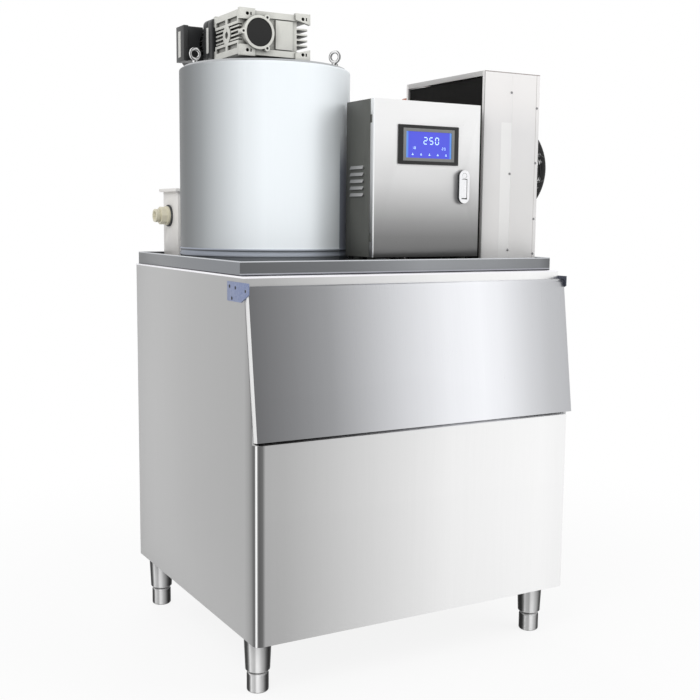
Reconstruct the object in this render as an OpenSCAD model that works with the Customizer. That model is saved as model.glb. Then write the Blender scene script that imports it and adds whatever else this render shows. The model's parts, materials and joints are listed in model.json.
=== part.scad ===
// Flake ice machine: an insulated ice bin on legs, with the ice drum and its drive, the control box,
// the air-cooled condenser and the water tank standing on a tray above it.
// Millimetres. X runs to the right, Y to the back and Z up.

/* [Bin] */
// Height of the legs under the bin
leg_h = 147; // [120:1:200]
// Height of the lower front panel
panel_h = 491; // [350:1:600]
// Depth of the step between the lower panel and the slanted face
step_d = 14; // [8:1:24]
// Rise of that step
step_rise = 5; // [2:1:10]
// Height of the strip between the top of the door and the tray
strip_h = 24; // [15:1:60]
// Thickness of the insulated bin walls, skins included
bin_wall = 50; // [35:1:70]
// Thickness of the sheet steel skins
skin = 1.5; // [1:0.25:2.5]
// Radius of the two upright front corners
corner_r = 19; // [8:1:30]
// Radius of the drain pipe's bore
drain_bore_r = 12; // [8:0.5:16]
// Length of the drain stub behind the bin
drain_out = 18; // [10:1:40]

/* [Bin door] */
// Length of the door along its slope
door_len = 366; // [300:1:420]
// Thickness of the door
door_t = 22; // [16:1:30]
// Lean of the door from upright, in degrees
door_lean = 7.8; // [4:0.1:12]
// Gap between the closed door and the slanted face
door_gap = 1.5; // [1:0.1:3]
// Gap beside and below the door
door_edge_gap = 0.5; // [0.4:0.1:1]
// Radius of the hinge pins
door_pin_r = 4; // [3:0.5:6]
// Thickness of the hinge brackets
bracket_t = 2.5; // [2:0.5:4]
// Length of the hinge brackets
bracket_l = 124; // [90:1:150]
// Height of the hinge brackets
bracket_h = 47; // [36:1:60]
// Width of the bin face beside the mouth
mouth_side = 62; // [55:1:90]
// Height of the face below the mouth
mouth_low = 45; // [30:1:80]
// Height of the face above the mouth
mouth_high = 60; // [50:1:90]
// Wall of the plastic trim in the mouth
trim_t = 2; // [1.5:0.5:3]

/* [Legs] */
// Distance of the leg axes from the bin's sides
leg_in_x = 47; // [42:1:80]
// Distance of the front leg axes from the front panel
leg_in_front = 90; // [50:1:120]
// Distance of the back leg axes from the back
leg_in_back = 52; // [42:1:100]
// Top radius of a leg sleeve
leg_top_r = 35; // [30:1:40]
// Bottom radius of a leg sleeve
leg_low_r = 31; // [28:1:36]
// Radius of a foot
foot_r = 27.5; // [20:0.5:32]
// Height of a foot below its sleeve
foot_h = 50; // [40:1:60]
// Radius of a foot's threaded stem
foot_stem_r = 12; // [8:0.5:14]
// Travel of a foot out of its sleeve
foot_travel = 25; // [15:1:30]

/* [Tray] */
// Distance of the tray from the bin's sides
tray_side = 5; // [2:1:20]
// Distance of the tray behind the top front edge of the bin
tray_set = 29; // [10:1:60]
// Distance of the tray from the bin's back
tray_back = 8; // [4:1:30]
// Height of the tray's rim
tray_h = 35; // [20:1:50]
// Width of the lip folded inwards at the top of the rim
tray_lip = 4; // [3:0.5:6]
// Radius of the hole that the ice falls through
drop_r = 150; // [120:1:155]

/* [Ice drum] */
// Outer radius of the drum
drum_r = 230; // [215:1:260]
// Height of the drum above the tray's floor
drum_h = 527; // [450:1:600]
// Gap between the drum and the tray's rim at the left
drum_side_gap = 5.5; // [5:0.5:20]
// Distance of the drum behind the tray's front
drum_front = 135; // [120:1:180]
// Radius of the rolled shoulder at the top
shoulder_r = 6; // [4:1:18]
// Height of the beads round the drum's foot
bead_h = 5; // [3:0.5:8]
// How far the beads stand out
bead_out = 2.5; // [1.5:0.5:4]
// Inner radius of the evaporator cylinder
evap_r = 160; // [156:1:170]
// Wall of the evaporator cylinder
evap_wall = 12; // [8:1:16]
// Thickness of the ring under the drum
base_t = 8; // [5:1:12]
// Thickness of the drum's cover
cover_t = 6; // [4:1:10]
// Radius of the main shaft
shaft_r = 14; // [10:0.5:18]
// Outer radius of a lifting eye
eye_r = 17; // [14:0.5:20]
// Radius of a lifting eye's bar
eye_bar_r = 4; // [3:0.25:5]
// Gap between the scraper's edge and the evaporator
scraper_gap = 1.5; // [1:0.25:3]

/* [Drive] */
// Length of the gear case across the machine
gear_l = 205; // [190:1:230]
// Depth of the gear case along the worm
gear_d = 172; // [160:1:190]
// Height of the gear case
gear_h = 120; // [110:1:135]
// Distance of the worm's axis from the wheel's axis
worm_off = 60; // [54:1:72]
// Thickness of the flange between the cover and the gear case
mount_t = 20; // [14:1:30]
// Outer radius of the hollow output hub
hub_r = 22; // [20:0.5:26]
// Radius of the black end cap
cap_r = 36; // [30:1:40]
// Side of the square block between the gear case and the motor
flange_side = 118; // [110:1:160]
// Length of the block between the gear case and the motor
flange_t = 60; // [12:1:70]
// Radius of the motor without its fins
motor_r = 50; // [44:1:62]
// Height of the motor's fins
motor_fin = 7; // [4:0.5:9]
// Length of the finned motor body
motor_l = 130; // [115:1:160]
// Length of the motor's fan cover
fan_cover_l = 72; // [55:1:95]

/* [Control box] */
// Width of the control box
box_w = 330; // [300:1:380]
// Height of the control box
box_h = 400; // [360:1:480]
// Depth of the control box, door included
box_d = 140; // [120:1:180]
// Distance of the box behind the tray's front
box_front = 32; // [20:1:60]
// Least gap between the box and the drum
drum_box_gap = 12; // [8:1:30]
// Height of the box's feet
box_foot_h = 38; // [30:1:50]
// Depth of the door's folded rim
box_door_t = 18; // [14:1:24]
// Sheet thickness of the box and its door
box_skin = 2; // [1.5:0.25:2.5]
// Gap between the door and the box
box_door_gap = 2; // [1.5:0.25:3]
// Width of the display bezel
bezel_w = 187; // [160:1:220]
// Height of the display bezel
bezel_h = 100; // [80:1:120]
// Distance of the bezel below the top of the door
bezel_drop = 61; // [40:1:90]
// Width of the lit screen
screen_w = 141; // [120:1:150]
// Height of the lit screen
screen_h = 67; // [50:1:75]
// Length of the oval latch
latch_l = 87; // [75:1:100]
// Width of the oval latch
latch_w = 33; // [28:1:38]
// Distance of the latch from the door's right edge
latch_side = 37; // [20:1:60]
// Distance of the latch below the top of the door
latch_drop = 172; // [165:1:200]
// Count of louvres in the left side
louvre_count = 5; // [3:1:7]
// Spacing of the louvres
louvre_pitch = 17.5; // [14:0.5:24]
// Length of a louvre
louvre_l = 66; // [40:1:80]
// Bore radius of the cable gland
gland_bore_r = 6.5; // [4:0.5:9]

/* [Condenser] */
// Gap between the control box and the condenser
box_cond_gap = 33; // [10:1:60]
// Distance of the condenser behind the tray's front
cond_front = 61; // [20:1:100]
// Width of the finned coil
coil_w = 95; // [80:1:120]
// Width of the fan shroud
shroud_w = 95; // [80:1:120]
// Length of the condenser from front to back
cond_l = 390; // [330:1:400]
// Height of the condenser above the tray's floor
cond_h = 536; // [450:1:600]
// Gap between the condenser and the tray's rim at the right
cond_side_gap = 2.5; // [2:0.5:20]
// Count of fins drawn on the coil
fin_count = 42; // [20:1:48]
// Thickness of a fin
fin_t = 1.2; // [0.8:0.1:2]
// Radius of the coil's tubes
tube_r = 6; // [4:0.5:8]
// Rows of tubes
tube_rows = 8; // [5:1:10]
// Radius of the fan's blades
fan_r = 133; // [110:1:138]
// Radius of the wire guard
guard_r = 155; // [150:1:162]
// How far the guard stands out from the shroud
guard_out = 124; // [118:1:150]
// Thickness of the guard's bars
guard_bar = 4; // [3:0.25:5]
// Count of fan blades
blade_count = 5; // [4:1:7]

/* [Refrigeration] */
// Radius of the compressor's shell
comp_r = 92; // [80:1:100]
// Height of the compressor's shell
comp_h = 330; // [260:1:360]
// Radius of the liquid receiver
receiver_r = 48; // [40:1:60]
// Height of the liquid receiver
receiver_h = 250; // [200:1:320]
// Radius of the suction pipe
suction_r = 11; // [8:0.5:14]
// Radius of the liquid and discharge pipes
liquid_r = 6; // [4:0.5:8]

/* [Water tank] */
// Width of the water tank
tank_w = 204; // [160:1:240]
// Depth of the water tank
tank_d = 117; // [100:1:140]
// Height of the water tank
tank_h = 214; // [160:1:260]
// Wall of the water tank
tank_wall = 3; // [2:0.5:5]
// Gap between the drum and the tank
tank_gap = 14; // [8:1:30]
// Gap between the tank and the tray's back rim
tank_back_gap = 5.5; // [5:0.5:20]
// Distance of the tank from the tray's left edge
tank_side = 76; // [60:1:120]
// Overhang of the tank's lid
lid_over = 10; // [4:0.5:12]
// Bore radius of the inlet fitting
inlet_bore_r = 13; // [8:0.5:16]
// Radius of the inlet fitting's nut
inlet_r = 27.5; // [22:0.5:30]
// Length of the inlet fitting
inlet_l = 40; // [34:1:55]
// Thickness of the inlet's gasket
gasket_t = 5; // [3:0.5:8]
// Radius of the float
float_r = 22; // [16:1:30]

/* [Hidden] */
$fn = 64;
// Clearance between pieces that move on each other
running_gap = 0.06;
slide_gap = 0.3;
// Clearance between round pieces that rest in each other
seat_gap = 0.3;
// Overshoot of a cut past a face
over = 1;

// Heights
step_z = leg_h + panel_h;
face_z = step_z + step_rise;
bin_top = face_z + door_len * cos(door_lean) + strip_h;
tray_floor = bin_top + skin;
tray_top = bin_top + tray_h;
drum_foot = tray_floor + base_t;
drum_top = tray_floor + drum_h;
cover_top = drum_top + cover_t;
gear_z = cover_top + mount_t;
worm_z = gear_z + gear_h / 2;

// Places from front to back
face_top_y = step_d + (bin_top - face_z) * tan(door_lean);
tray_y = face_top_y + tray_set;
drum_y = tray_y + drum_front + drum_r;
box_y = tray_y + box_front;
box_back = box_y + box_d;
cond_y = tray_y + cond_front;
tank_y = drum_y + drum_r + tank_gap;
tray_end = tank_y + tank_d + tank_back_gap + skin;
bin_d = tray_end + tray_back;

// Places from left to right
drum_x = tray_side + skin + drum_side_gap + drum_r;
drum_box_dy = drum_y - box_back;
box_x = drum_x + sqrt(pow(drum_r + drum_box_gap, 2) - pow(drum_box_dy, 2));
coil_x = box_x + box_w + box_cond_gap;
shroud_x = coil_x + coil_w;
cond_end = shroud_x + shroud_w;
tray_end_x = cond_end + cond_side_gap + skin;
bin_w = tray_end_x + tray_side;
worm_x = drum_x - worm_off;
tank_x = tray_side + tank_side;

// Lowest front corner of the bin door and the hinge axis
door_low = door_edge_gap;
door_out = door_gap + door_t;
door_front_y = step_d - door_out * cos(door_lean) + door_low * sin(door_lean);
pivot_up = door_low + door_len - door_t / 2;
pivot_in = -door_gap - door_t / 2;
pivot_y = step_d + pivot_in * cos(door_lean) + pivot_up * sin(door_lean);
pivot_z = face_z - pivot_in * sin(door_lean) + pivot_up * cos(door_lean);

// The model's origin is under the middle of its box
guard_tip = cond_end + guard_out;
origin = [(guard_tip - bracket_t) / 2, (door_front_y + bin_d + drain_out) / 2, 0];

bin_profile = [
    [0, leg_h],
    [bin_d, leg_h],
    [bin_d, bin_top],
    [face_top_y, bin_top],
    [step_d, face_z],
    [0, step_z]
];

leg_places = [
    [leg_in_x, leg_in_front],
    [bin_w - leg_in_x, leg_in_front],
    [leg_in_x, bin_d - leg_in_back],
    [bin_w - leg_in_x, bin_d - leg_in_back]
];

// Moves a piece from bin coordinates, at the bin's front left corner, into the model's frame
module in_place() {
    translate(-origin) children();
}

// Unit vector along v
function unit(v) = v / norm(v);

// Left normal of the edge from a to b
function edge_normal(a, b) = let(d = unit(b - a)) [-d[1], d[0]];

// Corner b between a and c, moved inwards so that both edges move by t
function inset_corner(a, b, c, t) =
    let(m = edge_normal(a, b), n = edge_normal(b, c)) b + t * (m + n) / (1 + m * n);

// Outline drawn counter-clockwise, moved inwards by t
function inset(pts, t) =
    let(n = len(pts))
    [for (i = [0:n - 1]) inset_corner(pts[(i + n - 1) % n], pts[i], pts[(i + 1) % n], t)];

// Extrudes a Y-Z outline along X
module along_x(length) {
    rotate([90, 0, 90]) linear_extrude(length) children();
}

// A cylinder whose axis runs along X, or along Y
module rod_x(r, length) {
    rotate([0, 90, 0]) cylinder(r = r, h = length);
}
module rod_y(r, length) {
    rotate([-90, 0, 0]) cylinder(r = r, h = length);
}

// Half section of a disc of radius r and height h, rounded at its top edge
module rounded_half(r, h, edge) {
    square([r - edge, h]);
    square([r, h - edge]);
    translate([r - edge, h - edge]) circle(edge);
}

// A turned disc with a rounded top edge
module rounded_disc(r, h, edge) {
    rotate_extrude() intersection() {
        rounded_half(r, h, edge);
        square([r, h]);
    }
}

// Long hole outline: width w, overall length l along Y
module oblong(w, l) {
    translate([-w / 2, -(l - w) / 2]) square([w, l - w]);
    translate([0, -(l - w) / 2]) circle(w / 2);
    translate([0, (l - w) / 2]) circle(w / 2);
}

// The bin's body, moved inwards by t
module bin_prism(t) {
    translate([t, 0, 0]) along_x(bin_w - 2 * t) polygon(inset(bin_profile, t));
}

// The bin's footprint with its round front corners, moved inwards by t
module bin_plan(t) {
    linear_extrude(bin_top + over) {
        translate([t, corner_r]) square([bin_w - 2 * t, bin_d - corner_r - t]);
        translate([corner_r, t]) square([bin_w - 2 * corner_r, corner_r]);
        translate([corner_r, corner_r]) circle(corner_r - t);
        translate([bin_w - corner_r, corner_r]) circle(corner_r - t);
    }
}

module bin_body(t) {
    intersection() {
        bin_prism(t);
        bin_plan(t);
    }
}

// Frame of the slanted face: X across, Y inwards through the wall, Z up along the slope
module on_face() {
    translate([0, step_d, face_z]) rotate([-door_lean, 0, 0]) children();
}

// The mouth's opening, made larger by t all round
module mouth_cut(t, depth) {
    w = bin_w - 2 * mouth_side + 2 * t;
    h = door_len - mouth_low - mouth_high + 2 * t;
    on_face() translate([mouth_side - t, -over, mouth_low - t]) cube([w, depth + over, h]);
}

// The openings that all layers of the bin's wall share
mouth_depth = bin_wall * 1.5;
drain_r = drain_bore_r + 3;
drain_z = leg_h + bin_wall + drain_r + 3;
module bin_cuts() {
    mouth_cut(trim_t, mouth_depth);
    translate([drum_x, drum_y, bin_top - bin_wall - over])
        cylinder(r = drop_r + seat_gap, h = bin_wall + 2 * over);
    translate([bin_w / 2, bin_d - bin_wall - over, drain_z])
        rod_y(drain_r + seat_gap, bin_wall + 2 * over);
}

module bin_shell() {
    color("silver") in_place() difference() {
        bin_body(0);
        bin_body(skin);
        bin_cuts();
    }
}

module bin_insulation() {
    color("khaki") in_place() difference() {
        bin_body(skin);
        bin_prism(bin_wall - skin);
        bin_cuts();
    }
}

module bin_liner() {
    color("gainsboro") in_place() difference() {
        bin_prism(bin_wall - skin);
        bin_prism(bin_wall);
        bin_cuts();
    }
}

module mouth_trim() {
    color("white") in_place() difference() {
        mouth_cut(trim_t, bin_wall);
        mouth_cut(0, mouth_depth);
        on_face() translate([0, -2 * over, 0]) cube([bin_w, 2 * over, door_len]);
    }
}

// Outer form of the bin door, with its half-round top edge
door_skin = skin;
core_top = pivot_up - door_t;
module bin_door() {
    w = bin_w - 2 * door_edge_gap;
    pin_l = bin_w + 2 * bracket_t;
    color("lightgray") in_place() on_face() {
        difference() {
            union() {
                translate([door_edge_gap, -door_out, door_low]) cube([w, door_t, pivot_up - door_low]);
                translate([door_edge_gap, pivot_in, pivot_up]) rod_x(door_t / 2, w);
            }
            translate([door_edge_gap, -door_out, door_low]) core_block(over);
        }
        translate([-bracket_t, pivot_in, pivot_up]) rod_x(door_pin_r, bracket_t + 2 * door_edge_gap);
        translate([bin_w - 2 * door_edge_gap, pivot_in, pivot_up])
            rod_x(door_pin_r, bracket_t + 2 * door_edge_gap);
    }
}

// Block of foam and liner that fills the door's pan from behind
module core_block(proud) {
    w = bin_w - 2 * door_edge_gap - 2 * door_skin;
    translate([door_skin, door_skin, door_skin])
        cube([w, door_t - door_skin + proud, core_top - door_low - door_skin]);
}

module door_core() {
    color("white") in_place() on_face() translate([door_edge_gap, -door_out, door_low]) core_block(0);
}

// Hinge bracket plate in the Y-Z plane, round the pivot
bracket_front = 18;
bracket_below = 28;
bracket_tip = 8;
bracket_cut = 44;
module hinge_bracket(x) {
    low = -bracket_below;
    high = bracket_h - bracket_below;
    back = bracket_l - bracket_front;
    translate([x, pivot_y, pivot_z]) difference() {
        along_x(bracket_t) polygon([
            [-bracket_front, -bracket_tip],
            [bracket_cut - bracket_front, low],
            [back, low],
            [back, high],
            [-bracket_front, high]
        ]);
        translate([-over, 0, 0]) rod_x(door_pin_r + running_gap, bracket_t + 2 * over);
    }
}

module left_hinge_bracket() {
    color("lightsteelblue") in_place() hinge_bracket(-bracket_t);
}

module right_hinge_bracket() {
    color("lightsteelblue") in_place() hinge_bracket(bin_w);
}

module drain_stub() {
    flange_r = drain_r + 10;
    flange = 4;
    color("white") in_place() translate([bin_w / 2, bin_d, drain_z]) difference() {
        union() {
            translate([0, -bin_wall, 0]) rod_y(drain_r, bin_wall + drain_out);
            rod_y(flange_r, flange);
        }
        translate([0, -bin_wall - over, 0]) rod_y(drain_bore_r, bin_wall + drain_out + 2 * over);
    }
}

// Legs: a tapered sleeve and a foot that screws into it
groove = 2;
sleeve_z = foot_h + groove;
stem_l = foot_travel + 30;
module leg_sleeves() {
    plate_t = 4;
    plate_out = 3;
    round_r = 5;
    color("silver") in_place() for (p = leg_places) translate([p[0], p[1], sleeve_z]) difference() {
        union() {
            cylinder(r1 = leg_low_r - round_r, r2 = leg_low_r, h = round_r);
            translate([0, 0, round_r])
                cylinder(r1 = leg_low_r, r2 = leg_top_r, h = leg_h - sleeve_z - round_r);
            translate([0, 0, leg_h - sleeve_z - plate_t])
                cylinder(r = leg_top_r + plate_out, h = plate_t);
        }
        translate([0, 0, -over]) cylinder(r = foot_stem_r + slide_gap, h = stem_l + groove + over);
    }
}

module foot(p) {
    edge = 6;
    color("silver") in_place() translate([p[0], p[1], 0]) {
        rotate_extrude() intersection() {
            union() {
                translate([0, edge]) rounded_half(foot_r, foot_h - edge, edge);
                square([foot_r - edge, edge]);
                translate([foot_r - edge, edge]) circle(edge);
            }
            square([foot_r, foot_h]);
        }
        cylinder(r = foot_stem_r, h = foot_h + stem_l);
    }
}

module foot_front_left() foot(leg_places[0]);
module foot_front_right() foot(leg_places[1]);
module foot_back_left() foot(leg_places[2]);
module foot_back_right() foot(leg_places[3]);

// Drip tray with a folded rim and the spout that the ice falls through
module tray() {
    w = tray_end_x - tray_side;
    d = tray_end - tray_y;
    spout_t = skin;
    color("slategray") in_place() difference() {
        union() {
            difference() {
                translate([tray_side, tray_y, bin_top]) cube([w, d, tray_h]);
                translate([tray_side + skin, tray_y + skin, tray_floor])
                    cube([w - 2 * skin, d - 2 * skin, tray_h - 2 * skin]);
                translate([tray_side + tray_lip, tray_y + tray_lip, tray_floor])
                    cube([w - 2 * tray_lip, d - 2 * tray_lip, tray_h]);
            }
            translate([drum_x, drum_y, bin_top - bin_wall]) cylinder(r = drop_r, h = bin_wall + skin);
        }
        translate([drum_x, drum_y, bin_top - bin_wall - over])
            cylinder(r = drop_r - spout_t, h = bin_wall + skin + 2 * over);
    }
}

// Ice drum
evap_out = evap_r + evap_wall;
foam_r = drum_r - skin - seat_gap;
cover_r = drum_r - 2 * shoulder_r;
port_liquid_z = drum_foot + 90;
port_suction_z = drum_top - 80;

// Runs of the two refrigerant pipes through the drum's right side
module port_cuts() {
    translate([drum_x + evap_out, drum_y, port_liquid_z]) rod_x(liquid_r + seat_gap, drum_r);
    translate([drum_x + evap_out, drum_y, port_suction_z]) rod_x(suction_r + seat_gap, drum_r);
}

module drum_base() {
    color("dimgray") in_place() translate([drum_x, drum_y, tray_floor]) difference() {
        cylinder(r = foam_r, h = base_t);
        translate([0, 0, -over]) cylinder(r = drop_r, h = base_t + 2 * over);
    }
}

module drum_jacket() {
    bead_low = tray_top - tray_floor + 3;
    bead_pitch = 3 * bead_h;
    color("lightgray") in_place() difference() {
        translate([drum_x, drum_y, tray_floor]) rotate_extrude() difference() {
            union() {
                intersection() {
                    rounded_half(drum_r, drum_h, shoulder_r);
                    square([drum_r, drum_h]);
                }
                for (i = [0:1]) translate([drum_r - skin, bead_low + i * bead_pitch])
                    square([skin + bead_out, bead_h]);
            }
            rounded_half(drum_r - skin, drum_h - skin, shoulder_r - skin);
            square([cover_r - shoulder_r, drum_h + over]);
        }
        port_cuts();
    }
}

module drum_insulation() {
    foam_h = drum_h - base_t - skin;
    color("khaki") in_place() difference() {
        translate([drum_x, drum_y, drum_foot]) rotate_extrude() difference() {
            intersection() {
                rounded_half(foam_r, foam_h, shoulder_r);
                square([foam_r, foam_h]);
            }
            square([evap_out + seat_gap, 2 * drum_h]);
        }
        port_cuts();
    }
}

module evaporator() {
    color("silver") in_place() translate([drum_x, drum_y, drum_foot]) difference() {
        cylinder(r = evap_out, h = drum_top - drum_foot);
        translate([0, 0, -over]) cylinder(r = evap_r, h = drum_top - drum_foot + 2 * over);
    }
}

shaft_hole_r = shaft_r + 14;
module drum_cover() {
    color("gainsboro") in_place() translate([drum_x, drum_y, drum_top]) difference() {
        cylinder(r = cover_r, h = cover_t);
        translate([0, 0, -over]) cylinder(r = shaft_hole_r, h = cover_t + 2 * over);
    }
}

// Lifting eyes: a ring on a collar, three round the cover's edge
eye_count = 3;
eye_first = 65;
module lifting_eyes() {
    collar_r = eye_r / 2;
    collar_h = 5;
    color("silver") in_place() for (i = [0:eye_count - 1])
        translate([drum_x, drum_y, cover_top]) rotate(eye_first + i * 360 / eye_count)
            translate([cover_r - collar_r, 0, 0]) {
                cylinder(r = collar_r, h = collar_h);
                cylinder(r = eye_bar_r, h = collar_h + 2 * eye_bar_r);
                translate([0, 0, collar_h + eye_r]) rotate([90, 0, 0])
                    rotate_extrude() translate([eye_r - eye_bar_r, 0]) circle(eye_bar_r);
            }
}

// Three-armed spider across the drum's lower end, with the shaft's lower bearing
spider_h = 18;
module lower_spider() {
    arm_w = 18;
    bearing_r = shaft_r + 14;
    arm_end = evap_r - 2;
    color("gray") in_place() translate([drum_x, drum_y, drum_foot]) difference() {
        union() {
            cylinder(r = bearing_r, h = 2 * spider_h);
            for (i = [0:2]) rotate(i * 120) translate([0, -arm_w / 2, 0]) cube([arm_end, arm_w, spider_h]);
        }
        translate([0, 0, -over]) cylinder(r = shaft_r + running_gap, h = 2 * spider_h + 2 * over);
    }
}

shaft_low = drum_foot + 2;
shaft_top = gear_z + gear_h + 6;
module main_shaft() {
    color("silver") in_place() translate([drum_x, drum_y, shaft_low])
        cylinder(r = shaft_r, h = shaft_top - shaft_low);
}

// Scraper: two arms on the shaft carry an upright blade with slanting notches
scraper_low = drum_foot + 2 * spider_h + 6;
// Room above the scraper for the water pan
pan_room = 70;
scraper_top = drum_top - pan_room;
module ice_scraper() {
    hub = shaft_r + 14;
    arm_w = 24;
    arm_h = 22;
    blade_in = evap_r - 36;
    edge_r = evap_r - scraper_gap;
    length = scraper_top - scraper_low;
    notch_pitch = 26;
    notch_count = floor(length / notch_pitch) - 1;
    color("silver") in_place() translate([drum_x, drum_y, scraper_low]) difference() {
        union() {
            for (z = [0, length - arm_h]) translate([0, 0, z]) {
                cylinder(r = hub, h = arm_h);
                translate([0, -arm_w / 2, 0]) cube([blade_in + arm_w / 2, arm_w, arm_h]);
            }
            linear_extrude(length) polygon([
                [blade_in, -arm_w / 2],
                [edge_r - arm_w / 2, -arm_w / 2],
                [edge_r - 1, 0],
                [edge_r - arm_w / 2, arm_w / 2],
                [blade_in, arm_w / 2]
            ]);
        }
        translate([0, 0, -over]) cylinder(r = shaft_r + running_gap, h = length + 2 * over);
        for (i = [0:notch_count - 1])
            translate([edge_r - arm_w / 3, -arm_w, arm_h + (i + 0.3) * notch_pitch])
                rotate([30, 0, 0]) cube([arm_w, 2.5 * arm_w, notch_pitch / 4]);
    }
}

// Water pan turning with the shaft, with spouts that wet the evaporator's wall
pan_low = scraper_top + 8;
module water_pan() {
    pan_r = evap_r / 2;
    pan_h = 30;
    hub = shaft_r + 12;
    spout_r = 5;
    spout_end = evap_r - 10;
    spout_count = 6;
    color("lightgray") in_place() translate([drum_x, drum_y, pan_low]) difference() {
        union() {
            cylinder(r = pan_r, h = pan_h);
            for (i = [0:spout_count - 1]) rotate(i * 360 / spout_count)
                translate([hub, 0, 2 * spout_r]) rod_x(spout_r, spout_end - hub);
        }
        translate([0, 0, skin * 2]) difference() {
            cylinder(r = pan_r - 2 * skin, h = pan_h);
            cylinder(r = hub, h = pan_h);
        }
        translate([0, 0, -over]) cylinder(r = shaft_r + running_gap, h = pan_h + 2 * over);
    }
}

// Drive
mount_r = gear_d / 2 - 2;
module gear_mount() {
    step_r = mount_r - 14;
    lip = 8;
    color("dimgray") in_place() translate([drum_x, drum_y, cover_top]) difference() {
        union() {
            cylinder(r = mount_r, h = lip);
            cylinder(r = step_r, h = mount_t);
        }
        translate([0, 0, -over]) cylinder(r = shaft_hole_r, h = mount_t + 2 * over);
    }
}

// Cast gear case about the wheel's axis: faces set back between corner feet, the worm's tube with its
// bearing ring and lugs, cooling fins at the wheel's end, and a boss between ribs at the worm's end
case_end = 10;
case_pad = 10;
lug_angles = [60, 180, 300];
ring_w = 7;
ring_out = 8;
lug_r = 7.5;
lug_ring = cap_r + ring_w + 2;
lug_hole_r = 3.4;
case_left = worm_off + lug_ring + lug_r;
case_right = gear_l - case_left;
foot_l = 44;
foot_side = 28;
foot_bolt_r = 4.5;
end_in = 12;
fin_reach = 36;
case_fins = 4;
case_fin_t = 4;
fin_step = 14;
case_axis_z = gear_h / 2;

// A corner foot of the case, seen from the front: square at the worm's end, tapered at the wheel's end
module case_foot(taper) {
    polygon([[0, 0], [foot_l, 0], [foot_l, foot_side - taper], [0, foot_side]]);
}

// The four feet of one long face, with their outlines drawn up from each corner of the case
module case_feet() {
    for (top = [0, 1]) mirror_up(top) {
        translate([-case_left, 0]) case_foot(0);
        translate([case_right, 0]) mirror([1, 0]) case_foot(0.4 * foot_side);
    }
}

// Draws an outline, or draws it upside down about the middle of the case
module mirror_up(turned) {
    translate([0, turned * gear_h]) mirror([0, turned]) children();
}

// Places on the four feet of one long face
foot_places = [
    for (x = [-case_left + foot_l / 2, case_right - foot_l / 2],
         z = [foot_side / 2, gear_h - foot_side / 2]) [x, z]
];

// Stands an X-Z outline between two distances along Y
module stood(front, back) {
    translate([0, back, 0]) rotate([90, 0, 0]) linear_extrude(back - front) children();
}

module case_block() {
    half = gear_d / 2 - case_pad;
    core_left = -case_left + end_in;
    core_l = gear_l - end_in - fin_reach;
    rail_h = 16;
    rail_in = 4;
    fin_low = case_axis_z - (case_fins - 1) * fin_step / 2 - case_fin_t / 2;
    plate_l = 50;
    plate_h = 74;
    plate_out = 5;
    // Body with the rails along its top and bottom
    translate([core_left, -half, case_end]) cube([core_l, 2 * half, gear_h - 2 * case_end]);
    for (z = [rail_in, gear_h - rail_in - rail_h])
        translate([-case_left, -half - case_pad / 2, z]) cube([gear_l, 2 * half + case_pad, rail_h]);
    // Fins beyond the wheel, with round outer corners
    for (i = [0:case_fins - 1]) translate([0, 0, fin_low + i * fin_step]) linear_extrude(case_fin_t) {
        translate([core_left + core_l - over, -half]) square([fin_reach - case_pad + over, 2 * half]);
        translate([core_left + core_l, -half + case_pad]) square([fin_reach, 2 * (half - case_pad)]);
        for (s = [-1, 1]) translate([case_right - case_pad, s * (half - case_pad)]) circle(case_pad);
    }
    // Raised panel beside the worm's ring
    translate([-worm_off + lug_ring + lug_r, -half - plate_out, (gear_h - plate_h) / 2])
        cube([plate_l, plate_out + over, plate_h]);
}

// The worm's end: two foot blocks with windows, a bored boss and ribs between them
module case_worm_end() {
    half = gear_d / 2 - case_pad;
    block_h = 34;
    window = 7;
    window_d = 7;
    boss_r = 24;
    boss_hole_r = 9;
    rib_t = 4;
    rib_count = 4;
    room = gear_h - 2 * block_h;
    translate([-case_left, 0, 0]) difference() {
        union() {
            for (z = [case_end / 2, gear_h - case_end / 2 - block_h])
                translate([0, -half, z]) cube([end_in + over, 2 * half, block_h]);
            for (i = [1:rib_count]) translate([2, -half, block_h + i * room / (rib_count + 1) - rib_t / 2])
                cube([end_in, 2 * half, rib_t]);
            translate([0, 0, case_axis_z]) rod_x(boss_r, end_in + over);
        }
        for (z = [case_end / 2, gear_h - case_end / 2 - block_h], s = [0, 1])
            translate([-over, s * half - half + window, z + window])
                cube([window_d + over, half - 2 * window, block_h - 2 * window]);
        translate([-over, 0, case_axis_z]) rod_x(boss_hole_r, end_in);
    }
}

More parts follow.
